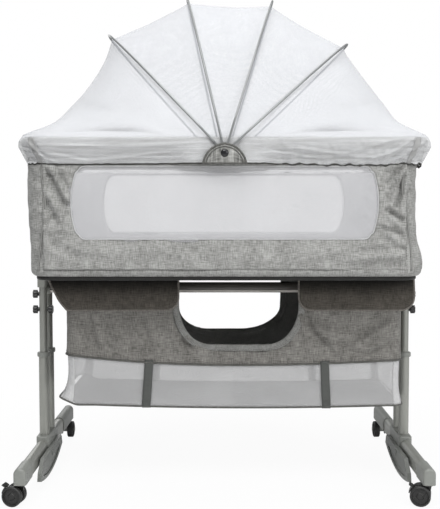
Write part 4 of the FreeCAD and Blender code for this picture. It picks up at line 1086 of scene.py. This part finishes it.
def band_out(s, v, ring):
    """How far the net band stands outside the rim, and its height; v is 0 at its top and 1 at its hem."""
    x, _, nx, ny = ring.at(s)
    ends = abs(nx)
    hub_gap = ease(abs(x), 62, 120) if abs(ny) > 0.5 else 1.0
    for (v0, s0, e0, z0), (v1, s1, e1, z1) in zip(BAND_STOPS, BAND_STOPS[1:]):
        if v <= v1 + 1e-9:
            t = (v - v0) / (v1 - v0)
            o0, o1 = s0 + e0 * ends, s1 + e1 * ends
            out, z = o0 + (o1 - o0) * t, z0 + (z1 - z0) * t
            break
    out = 1.0 + (out - 1.0) * hub_gap
    gather = 0.45 + (1.0 if x > 0 else 0.0) + 0.7 * ease(abs(x), 350, 430) + 0.5 * ends
    deep = v * (1.2 - v)
    drift = s + 26 * v * (1 if x < 0 else -1)
    pleat = ripple(drift, 0.0, 11.0 * v, 13.0, 1.0) + 0.6 * ripple(drift, 5.0, 20.0 * v, 31.0, 7.0)
    out += (1.5 * gather * deep * 2.0 * pleat - 0.3) * hub_gap * ease(v, 0.0, 0.15)
    if ny < -0.1:
        out += 1.4 * fold_height(x, z, BAND_FOLDS) * hub_gap * ease(v, 0.0, 0.12) * (1 - ease(v, 0.9, 1.0))
    if ny < -0.7:
        z -= 2.5 * v * ease(abs(x), 60, 300) * (0.6 if x < 0 else 1.5) * (1 - ease(abs(x), 330, 430))
    z += 2.6 * gather * v ** 4 * ripple(drift, 3.0, 0.0, 11.0, 12.0) * hub_gap
    return out, z


def net_band():
    """Gathered band of net over the outside of the rim, its elastic and the tapes at its corners."""
    ring = Ring(RIM_LENGTH, RIM_DEPTH, RIM_CORNER)

    def place(u, v, lift=0.0):
        out, z = band_out(u, v / BAND_HEIGHT, ring)
        return ring.stand(u, out + lift, z)

    def cord_radius(u):
        x = ring.at(u)[0]
        lumps = ripple(u, 0, 0, 8.0, 3.0) + 0.6 * ripple(u, 4.0, 0, 21.0, 9.0)
        return 1.8 + (1.6 if x > 30 else 0.7) * max(-0.5, lumps)

    cloth = close_ring(cut_cloth(steps(3.0, 0.0, ring.length), steps(3.0, 0.0, BAND_HEIGHT), place))
    band = piece("net_band_cloth", cloth, band_net, 0.5, 0.0)
    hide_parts("net_band")
    hem = ring.loop(4.0, lambda u: place(u, BAND_HEIGHT))
    cord = piece("net_band_elastic", roll(hem, cord_radius, 3.0, 6, UP), elastic_dark)

    turn = 419.0  # walk from the middle of the front or back to a tape
    for name, corner, way in (
        ("front_left", ring.length - turn, 1),
        ("front_right", turn, -1),
        ("back_right", ring.length / 2 - turn, 1),
        ("back_left", ring.length / 2 + turn, -1),
    ):
        def tape(u, v):
            return place(u + way * 18.0 * v / BAND_HEIGHT, v, 0.7)

        cloth = cut_cloth(steps(3.0, corner - 8, corner + 8), steps(5.0, 0.0, BAND_HEIGHT - 2), tape)
        strip = piece(f"band_tape_{name}", cloth, end_trim, 0.4, 0.0)


# ------------------------------------------------------------------ canopy
def net_arch(reach, lean, leg, shoulder, base_r):
    """Evenly spaced points of a whole arch of the net, near to far, as (y, distance from the hub's axis)."""
    a, b = math.radians(lean), math.radians(shoulder)
    base_y = BAND_Y - NET_FOOT_IN
    rise_y = base_y - leg * math.cos(a)
    rise_r = reach - base_r - leg * math.sin(a)
    k = [[math.sin(a) - math.sin(b), math.sin(b)], [math.cos(b) - math.cos(a), 1 - math.cos(b)]]
    det = k[0][0] * k[1][1] - k[0][1] * k[1][0]
    side = (rise_y * k[1][1] - k[0][1] * rise_r) / det
    top = (k[0][0] * rise_r - k[1][0] * rise_y) / det
    knee = (base_y - leg * math.cos(a), base_r + leg * math.sin(a))
    centre = (knee[0] - side * math.sin(a), knee[1] - side * math.cos(a))
    half = [(base_y, base_r)]
    for n in range(13):
        turn = a + (b - a) * n / 12
        half.append((centre[0] + side * math.sin(turn), centre[1] + side * math.cos(turn)))
    for n in range(1, 13):
        turn = b * (1 - n / 12)
        half.append((top * math.sin(turn), reach - top + top * math.cos(turn)))
    whole = [(-y, r) for y, r in half] + [(y, r) for y, r in reversed(half[:-1])]
    return evenly([Vector((y, r, 0)) for y, r in whole])


def evenly(points):
    """Evenly spaced points along a line."""
    line = Line(points)
    return [line.at(line.length * n / NET_CELLS) for n in range(NET_CELLS + 1)]


def fan(angle, y, r):
    """Place at an angle and distance from the hub's axis."""
    c, s = math.cos(math.radians(angle)), math.sin(math.radians(angle))
    return Vector((r * c, y, HUB_Z + r * s))


def net_section(angle, reach, lean, leg, shoulder):
    """Outline of the net in a plane through the hub's axis."""
    foot = (NET_START - HUB_Z) / math.sin(math.radians(angle))
    return [fan(angle, p.x, p.y) for p in net_arch(reach, lean, leg, shoulder, foot)]


def rim_section(sign, start_x, over, rise, tuck=0.0):
    """Outline of the net over one end of the rim."""
    length, depth, corner = RIM_LENGTH + 3.0, RIM_DEPTH + 3.0, RIM_CORNER + 1.5
    z = NET_START + rise
    a, b, r = length / 2 - NET_FOOT_IN - over - tuck, depth / 2 - NET_FOOT_IN - over, corner - over
    c = a - r
    near = [Vector((start_x, -depth / 2 + NET_FOOT_IN, NET_START)), Vector((start_x + 40, -b, z))]
    near += [Vector((c + r * math.sin(t), -b + r - r * math.cos(t), z)) for t in [math.pi / 2 * n / 10 for n in range(11)]]
    far = [Vector((p.x, -p.y, p.z)) for p in reversed(near)]
    return [Vector((sign * p.x, p.y, p.z)) for p in evenly(near + far)]


def smooth_between(sections, s):
    """Outline at a position s along a run of outlines, smooth through all of them."""
    last = len(sections) - 1
    k = min(int(s), last - 1)
    t = s - k
    p1, p2 = sections[k], sections[k + 1]
    p0 = sections[k - 1] if k else [a * 2 - b for a, b in zip(p1, p2)]
    p3 = sections[k + 2] if k + 2 <= last else [b * 2 - a for a, b in zip(p1, p2)]
    out = []
    for a, b, c, d in zip(p0, p1, p2, p3):
        bend = (2 * a - 5 * b + 4 * c - d) * t * t + (3 * b - 3 * c + d - a) * t ** 3
        out.append(0.5 * (2 * b + (c - a) * t + bend))
    return out


def skin(sections, cells):
    """Net through several outlines."""
    last = len(sections) - 1
    middle = len(sections[0]) // 2
    rows = [smooth_between(sections, last * k / cells) for k in range(cells + 1)]
    us = [0.0]
    for p, q in zip(rows, rows[1:]):
        us.append(us[-1] + max(1.0, (q[middle] - p[middle]).length))
    around = len(sections[0]) - 1
    length = Line(rows[0]).length
    vs = [length * n / around for n in range(around + 1)]
    row_of = {u: row for u, row in zip(us, rows)}
    spot_of = {v: n for n, v in enumerate(vs)}

    def place(u, v):
        p = row_of[u][spot_of[v]]
        return p + net_ruffle(u / us[-1], v / length, p)

    return cut_cloth(us, vs, place)


def net_ruffle(u, v, p):
    """Slight unevenness of the net, none at its edges."""
    hold = min(1.0, min(u, 1 - u) * 4) * min(1.0, min(v, 1 - v) * 8)
    return Vector((0, 0, 1.6 * ripple(p.x, p.y, p.z, 70.0, 6.0) * hold))


def hang(obj, bodies):
    """Net between two bodies that a joint links stays unparented where it is; other net rides on the bassinet."""
    if frozenset(bodies) in joined:
        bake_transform(obj)
    else:
        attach(obj, "bassinet")


def canopy():
    """Net between the ribs and down to the rim at both ends."""
    for k in range(3):
        first, last = RIB_ANGLES[k : k + 2]
        sections = []
        for n in range(9):
            t = n / 8
            reach = NET_REACHES[k] + (NET_REACHES[k + 1] - NET_REACHES[k]) * t - NET_SAG * (1 - (2 * t - 1) ** 2)
            sections.append(net_section(first + (last - first) * t, reach, *NET_ARCH))
        obj = piece(f"net_gore_cloth_{k + 1}", skin(sections, GORE_CELLS), canopy_net, 0.5, 0.0, None)
        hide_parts(f"net_gore_{k + 1}")
        ribs = [f"rib_{k + 1}", f"rib_{k + 2}"]
        hang(obj, ribs)

    for name, sign, rib, reach in (("left", -1, 0, NET_REACHES[0]), ("right", 1, 3, NET_REACHES[3])):
        start = (RIB_ANGLES[rib] if sign < 0 else 180 - RIB_ANGLES[rib], reach, *NET_ARCH)
        rows = [start] + NET_ENDS[name]
        sections = [net_section(row[0] if sign < 0 else 180 - row[0], *row[1:]) for row in rows]
        for row in ((185.0, 22.0, 14.0), (196.0, 9.0, 6.0), (205.0, 0.0, 0.0, 4.0)):
            sections.append(rim_section(sign, *row))
        obj = piece(f"net_end_cloth_{name}", skin(sections, END_CELLS), canopy_net, 0.5, 0.0, None)
        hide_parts(f"net_end_{name}")
        rib_name = f"rib_{rib + 1}"
        hang(obj, ["bassinet", rib_name])


# ------------------------------------------------------------------ hubs
def hub_cloth(name, side):
    """Cloth half-disc with a bound edge, two rows of piping and a black domed knob."""
    face_y = HUB_FACE + HUB_PUFF
    points = []
    for n in range(41):
        x = -HUB_HALF + 2 * HUB_HALF * (n / 40)
        q = abs(x) / HUB_HALF
        z = HUB_BASE + (HUB_APEX - HUB_BASE) * (1 - q ** 2.1) ** 0.62
        points.append((x, z + (1.2 * (1 - q / 0.14) if q < 0.14 else 0)))

    def place(u, v):
        x, z = points[round(u)]
        t = v / 8.0
        puff = 3.2 * math.sin(math.pi * min(1.0, 0.12 + 0.8 * t)) * (1 - (abs(x) / HUB_HALF) ** 4)
        puff += 0.5 * ripple(x, 1.0, z * t, 8.0, side)
        zz = HUB_BASE + (z - HUB_BASE) * (1 - t) if t < 1 else HUB_BASE
        return x * (1 - 0.02 * t), side * (face_y - 3.4 + puff), zz

    disc = close_ring(cut_cloth(steps(1.0, 0.0, 40.0), steps(1.0, 0.0, 8.0), place))
    shell = bmesh.ops.extrude_edge_only(disc, edges=[e for e in disc.edges if e.is_boundary])
    for v in [g for g in shell["geom"] if isinstance(g, bmesh.types.BMVert)]:
        v.co.y = side * HUB_BACK
    cover = piece(f"hub_cloth_{name}", fill(disc), hub_linen)
    edge = Line([(x, side * (face_y - 2.2), z) for x, z in points])
    inner = Line([(x * 0.87, side * (face_y - 1.0), HUB_BASE + (z - HUB_BASE) * 0.86) for x, z in points])
    base = Line([(x, side * (face_y - 2.5), HUB_BASE + 1.5) for x in (-HUB_HALF, HUB_HALF)])
    welt = join(roll(edge, 2.3, 2.0, flat=0.8), roll(inner, 1.5, 2.0, 6, flat=0.7))
    welt = join(welt, roll(base, 1.8, 3.0, 6, flat=0.8))
    piece(f"hub_welt_{name}", welt, piping_grey)

    knob = bmesh.new()
    profile = [(0.0, 8.6), (1.2, 8.6), (2.0, 8.2), (3.6, 6.8), (4.6, 4.4), (5.0, 0.01)]  # depth and radius
    verts = [knob.verts.new((r, side * (face_y - 1.5 + depth), HUB_Z)) for depth, r in profile]
    edges = [knob.edges.new((p, q)) for p, q in zip(verts, verts[1:])]
    whole = 2 * math.pi
    bmesh.ops.spin(knob, geom=verts + edges, cent=(0, 0, HUB_Z), axis=(0, 1, 0), angle=whole, steps=28, use_merge=True)
    bmesh.ops.remove_doubles(knob, verts=knob.verts, dist=0.02)
    piece(f"hub_knob_{name}", outward(knob), button_black)
    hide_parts(f"hub_{name}")


# ------------------------------------------------------------------ mattress
def mattress_pad():
    """Flat pad with rounded edges, in the solid's box."""
    low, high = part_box("mattress")
    length, depth = (high.x - low.x) / MM - 6, (high.y - low.y) / MM - 6
    ring = Ring(length, depth, 52.0)
    z0, z1 = low.z / MM + 1.5, high.z / MM - 5.0
    half, middle = (z1 - z0) / 2, (z0 + z1) / 2
    top = [(110.0, half), (60.0, half), (20.0, half), (6.0, half - 5), (0.0, half - 14)]
    profile = top + [(inset, -rise) for inset, rise in reversed(top)]

    def place(u, v):
        inset, rise = profile[round(v)]
        if inset > 50:
            x, y = ring.at(u)[:2]
            return x * (1 - inset / (length / 2)), y * (1 - inset / (depth / 2)), middle + rise
        return ring.stand(u, -inset, middle + rise)

    return fill(close_ring(cut_cloth(steps(12.0, 0.0, ring.length), [float(n) for n in range(len(profile))], place)))


# ------------------------------------------------------------------ storage basket
def seam_z(x):
    """Height of the curved seam between the basket's cloth and its mesh."""
    t = (x - BASKET_X) / (BASKET_LENGTH / 2 + 40)
    return 283.0 + (15.0 if t > 0 else 29.0) * t * t


def mouth_line(side):
    """Outline of the U-shaped mouth on one side in x and z, open upwards."""
    left, right, low = MOUTHS[side]
    (lx, lz), (rx, rz) = MOUTH_CORNERS[side]
    turns = [math.pi / 2 * n / 16 for n in range(17)]
    points = [(left - 2, MOUTH_TOP)] + [(left + lx * (1 - math.cos(a)), low + lz * (1 - math.sin(a))) for a in turns]
    points += [(right - rx * (1 - math.sin(a)), low + rz * (1 - math.cos(a))) for a in turns]
    return points + [(right + 2, MOUTH_TOP)]


SKIRT_FOLDS = [
    (-352, 404, -334, 330, 7, 2.6),
    (-318, 404, -296, 318, 8, -3.0),
    (-262, 400, -232, 306, 9, 2.6),
    (-196, 398, -168, 316, 8, -2.8),
    (-128, 396, -100, 318, 7, 3.4),
    (-112, 352, -64, 312, 6, -3.4),
    (-84, 322, 40, 298, 7, 2.4),
    (60, 300, 160, 322, 7, 2.8),
    (180, 404, 196, 326, 7, 3.2),
    (190, 386, 262, 300, 7, -3.6),
    (204, 372, 292, 350, 8, 3.0),
    (226, 340, 330, 306, 8, -2.8),
    (292, 322, 394, 386, 8, 3.4),
    (332, 306, 402, 338, 7, -3.2),
    (250, 300, 282, 314, 6, 2.4),
]


def basket_sag(x):
    """How far the basket's floor hangs down at a place along it."""
    return 6.5 * max(0.0, 1 - ((x - 60.0) / 360.0) ** 2) - 16.0 * ease(-x, 338, 366)


def skirt_out(x, y, z, nx, ny):
    """How far the basket's cloth stands out from its ring."""
    out = 1.6 * ripple(x, y, z, 46.0, 1.0) + 0.8 * ripple(x, y, z, 19.0, 6.0)
    if abs(ny) > 0.5:
        out += fold_height(x if y < 0 else 2 * BASKET_X - x, z, SKIRT_FOLDS) * 2.3
    out += 1.4 * ease(seam_z(x) + 22 - z, 0, 20)
    out *= 1 - 0.8 * ease(z, 440, 470)
    return min(out, 6.0) - 1.0 + 7.0 * abs(nx) * (1 - ease(z, 400, 470))


def basket_skirt(ring):
    """Cloth upper half of the basket with its two mouths, their bindings and the seam along its foot."""
    height = 208.0

    def place(u, v):
        x, y, nx, ny = ring.at(u)
        low, high = seam_z(x), BODY_BOTTOM - 1.0
        z = low + (high - low) * v / height
        return ring.stand(u, skirt_out(x, y, z, nx, ny), z)

    bm = close_ring(cut_cloth(steps(6.0, 0.0, ring.length), steps(6.0, 0.0, height), place))
    for side in SIDES.values():
        mouth = mouth_line(side)
        outline = mouth + [(mouth[-1][0], MOUTH_TOP + 20), (mouth[0][0], MOUTH_TOP + 20)]
        cut_out(bm, outline, side, 2.8, BODY_BOTTOM - 4)
    skirt = piece("basket_skirt_cloth", outward(bm), basket_linen, 1.2)
    skirt.data.materials.append(lining)
    skirt.modifiers["wall"].material_offset = 1
    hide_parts("basket_skirt")

    for name, side in SIDES.items():
        edge = []
        for x, z in mouth_line(side):
            px, py, nx, ny = ring.at(ring_walk(ring, x, side))
            edge.append((px, py + ny * (skirt_out(px, py, z, nx, ny) - 0.5), min(z, BODY_BOTTOM - 4)))
        course = Line(thin(edge))

        def binding(u, v):
            p, run = course.at(u), course.along(u)
            fold = 1.3 * math.sin(math.pi * min(1.0, v / 15.0)) + (0.8 if v > 12 else 0)
            return p.x + run.z * v, p.y + side * (0.9 + fold), p.z - run.x * v

        cloth = cut_cloth(steps(5.0, 0.0, course.length), steps(2.5, 0.0, 15.0), binding)
        bind = piece(f"mouth_binding_{name}", cloth, trim_linen, 0.8, 0.0)
        beside = [Vector(binding(u, 11.0)) + Vector((0, side * 0.7, 0)) for u in steps(6.0, 0.0, course.length)]
        piece(f"mouth_stitches_{name}", stitches(Line(beside), 6.0, 3.4, 0.5), thread_dark)

    def low_edge(u):
        x, y, nx, ny = ring.at(u)
        return ring.stand(u, skirt_out(x, y, seam_z(x), nx, ny) + 0.6, seam_z(x))

    hem = ring.loop(6.0, low_edge)
    piece("skirt_piping", roll(hem, 2.0, side=UP), piping_grey)
    above = Line([p + 7 * UP for p in hem.points[:-1]], closed=True)
    piece("skirt_stitches", stitches(above, 7.0, 3.6, 0.55), thread_dark)


def basket_walls(ring):
    """Mesh lower half of the basket, which flares at the ends, with its foot piping and corner tapes."""
    height = 100.0

    def place(u, v, lift=0.0):
        x, y, nx, ny = ring.at(u)
        top, low = seam_z(x) + 2.0, BASKET_BOTTOM + 1.5 - basket_sag(x)
        t = v / height
        z = low + (top - low) * t
        out = -1.2 - 2.4 * math.sin(math.pi * t) + ripple(x, y, z, 60.0, 4.0) * math.sin(math.pi * t)
        out += (6.0 + 9.0 * (1 - t) ** 3 + 10.0 * (1 - t) ** 6) * max(0.0, -nx)
        out += (6.0 + 6.0 * (1 - t) ** 3) * max(0.0, nx)
        return ring.stand(u, out + lift, z)

    cloth = close_ring(cut_cloth(steps(8.0, 0.0, ring.length), steps(7.0, 0.0, height), place))
    net = piece("basket_mesh", cloth, basket_net, 0.5, 0.0)
    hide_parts("basket_net")
    foot = ring.loop(6.0, lambda u: place(u, 0.0))
    piece("basket_foot_piping", roll(foot, 2.2, side=UP), piping_grey)

    front, back = ring.runs[0] + ring.runs[1] / 2, ring.runs[0] + ring.runs[1] * 1.5 + ring.runs[2]
    far, near = ring.length - back, ring.length - front
    for name, s in {"front_right": front, "back_right": back, "back_left": far, "front_left": near}.items():
        cloth = cut_cloth(steps(3.0, s - 9, s + 9), steps(7.0, 0.0, height), lambda u, v: place(u, v, 0.5))
        tape = piece(f"basket_corner_{name}", cloth, corner_tape, 0.4, 0.0)


def basket_floor():
    """Cloth floor with rounded corners, which hangs down a little."""
    low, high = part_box("basket_floor")
    corner = 24.0
    us = steps(10.0, low.x / MM - 12, high.x / MM + 8)
    vs = steps(12.0, low.y / MM + 1, high.y / MM - 1)

    def place(u, v):
        cx = min(max(u, us[0] + corner), us[-1] - corner)
        cy = min(max(v, vs[0] + corner), vs[-1] - corner)
        p = Vector((u - cx, v - cy))
        if p.length > 0.1 and p.x and p.y:
            p = p * (max(abs(p.x), abs(p.y)) / p.length)
        edge = min(u - us[0], us[-1] - u, v - vs[0], vs[-1] - v)
        sag = ripple(u, v, 0, 70.0, 2.0) * min(1.0, max(0.0, edge) / 30)
        return cx + p.x, cy + p.y, high.z / MM - 1.6 + sag - basket_sag(cx + p.x)

    floor = piece("basket_floor_cloth", cut_cloth(us, vs, place), basket_floor_cloth, 2.0)
    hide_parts("basket_floor")


def thin(points):
    """Points without neighbours that all but touch."""
    kept = [points[0]]
    for p in points[1:]:
        if (Vector(p) - Vector(kept[-1])).length > 0.8:
            kept.append(p)
    return kept


def ring_walk(ring, x, side):
    """Walk that reaches x on the front (side -1) or back straight of a ring."""
    if side < 0:
        return (x - ring.x) % ring.length
    return ring.length / 2 - (x - ring.x)


def straps():
    """Webbing up the front, under the floor and up the back."""
    half = BASKET_DEPTH / 2
    for name, x in STRAP_X.items():
        lean = -7.0 if name == "left" else 5.0
        top = seam_z(x) + 6
        foot = 186.4 - basket_sag(x)
        front = [(x, -half - 2.2, top), (x + lean * 0.4, -half - 0.8, 250.0), (x + lean, -half - 1.6, foot + 7.6)]
        back = [(px, -py, pz) for px, py, pz in reversed(front)]
        under = [(x + lean, y, z) for y, z in ((-half + 2.0, foot), (0.0, foot - 0.4), (half - 2.0, foot))]
        course = Line(front + under + back)

        def place(across, u):
            p = course.at(u)
            return p.x + across, p.y, p.z

        cloth = cut_cloth(steps(5.0, -10.0, 10.0), steps(4.0, 0.0, course.length), place)
        strap = piece(f"basket_webbing_{name}", cloth, strap_webbing, 1.2, 0.0)
        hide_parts(f"basket_strap_{name}")
        bars = bmesh.new()
        for shift, z in ((0, top - 6), (lean, 200.0)):
            for n in range(7):
                place_at = Matrix.Translation((x + shift - 7.5 + 2.5 * n, -half - 3.0, z))
                bead(bars, place_at @ Matrix.Diagonal((1.1, 0.4, 0.5, 1)))
        piece(f"basket_webbing_tack_{name}", bars, thread_dark)


def flaps():
    """Pocket flaps with rounded lower corners and a piped edge; each swings on its own hinge."""
    corner = 30.0
    for name, (x0, x1) in (("left", (-406.0, -106.0)), ("right", (172.0, 438.0))):
        low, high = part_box(f"flap_{name}")
        z0, z1, y = low.z / MM, high.z / MM - 0.6, high.y / MM
        drop = z1 - z0

        def place(u, v):
            z = z0 + v
            slant = 26.0 * ease(x0 + 60.0 - u, 0, 60) * ease(z1 - z, 0, 70) if x0 < 0 else 0.0
            cx = min(max(u, x0 + corner), x1 - corner)
            if z < z0 + corner:
                dx, dz = u - cx, z - (z0 + corner)
                r = math.hypot(dx, dz)
                reach = max(abs(dx), abs(dz))
                if r > 0.1 and abs(dx) > 0:
                    u = cx + dx * reach / r
                    z = z0 + corner + dz * reach / r
            fall = min(1.0, max(0.0, (z1 - z) / drop))
            bow = 7.0 * math.sin(math.pi * fall ** 1.4) ** 0.8
            out = 0.7 * ripple(u, 2.0, z, 40.0, 3.0) + 0.35 * ripple(u, 9.0, z, 15.0, 5.0)
            return u + slant, y - 1.0 - bow - out * ease(z1 - z, 0, 20), z

        up, bend = steps(5.0, corner, drop), steps(3.0, 0.0, corner)
        edge = [place(x0, v) for v in up[::-1] + bend[:0:-1] + [0.0]]
        edge += [place(u, 0.0) for u in steps(5.0, x0, x1)[1:]]
        edge += [place(x1, v) for v in bend[1:] + up[1:]]
        cloth = cut_cloth(steps(6.0, x0, x1), steps(6.0, 0.0, drop), place)
        flap = piece(f"flap_cloth_{name}", cloth, flap_linen, 1.2, 0.0, f"flap_{name}")
        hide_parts(f"flap_{name}")
        course = Line(thin([Vector(p) + Vector((0, 0.2, 0)) for p in edge]))
        trim = roll(course, 2.4, 4.0, flat=0.8)
        piping = piece(f"flap_piping_{name}", trim, flap_trim, body=f"flap_{name}")


joined = {frozenset((j["parent"], j["child"])) for j in frame["joints"]}
body_ring = Ring(BODY_LENGTH, BODY_DEPTH, BODY_CORNER)
basket_ring = Ring(BASKET_LENGTH, BASKET_DEPTH, BASKET_CORNER, BASKET_X)

studio()
finish_frame()
cloth_tub(body_ring)
front_panel()
for name, side in SIDES.items():
    mesh_window(name, side)
zips(body_ring)
pad("rim_cloth", "rim", padded_ring(), rim_linen, 0.005, 3.0, 0.0020, 12)
net_band()
canopy()
for name, side in SIDES.items():
    hub_cloth(name, side)
pad("mattress_pad", "mattress", mattress_pad(), mattress_linen, 0.0065, 4.0, 0.005, 16)
basket_skirt(basket_ring)
basket_walls(basket_ring)
basket_floor()
straps()
flaps()
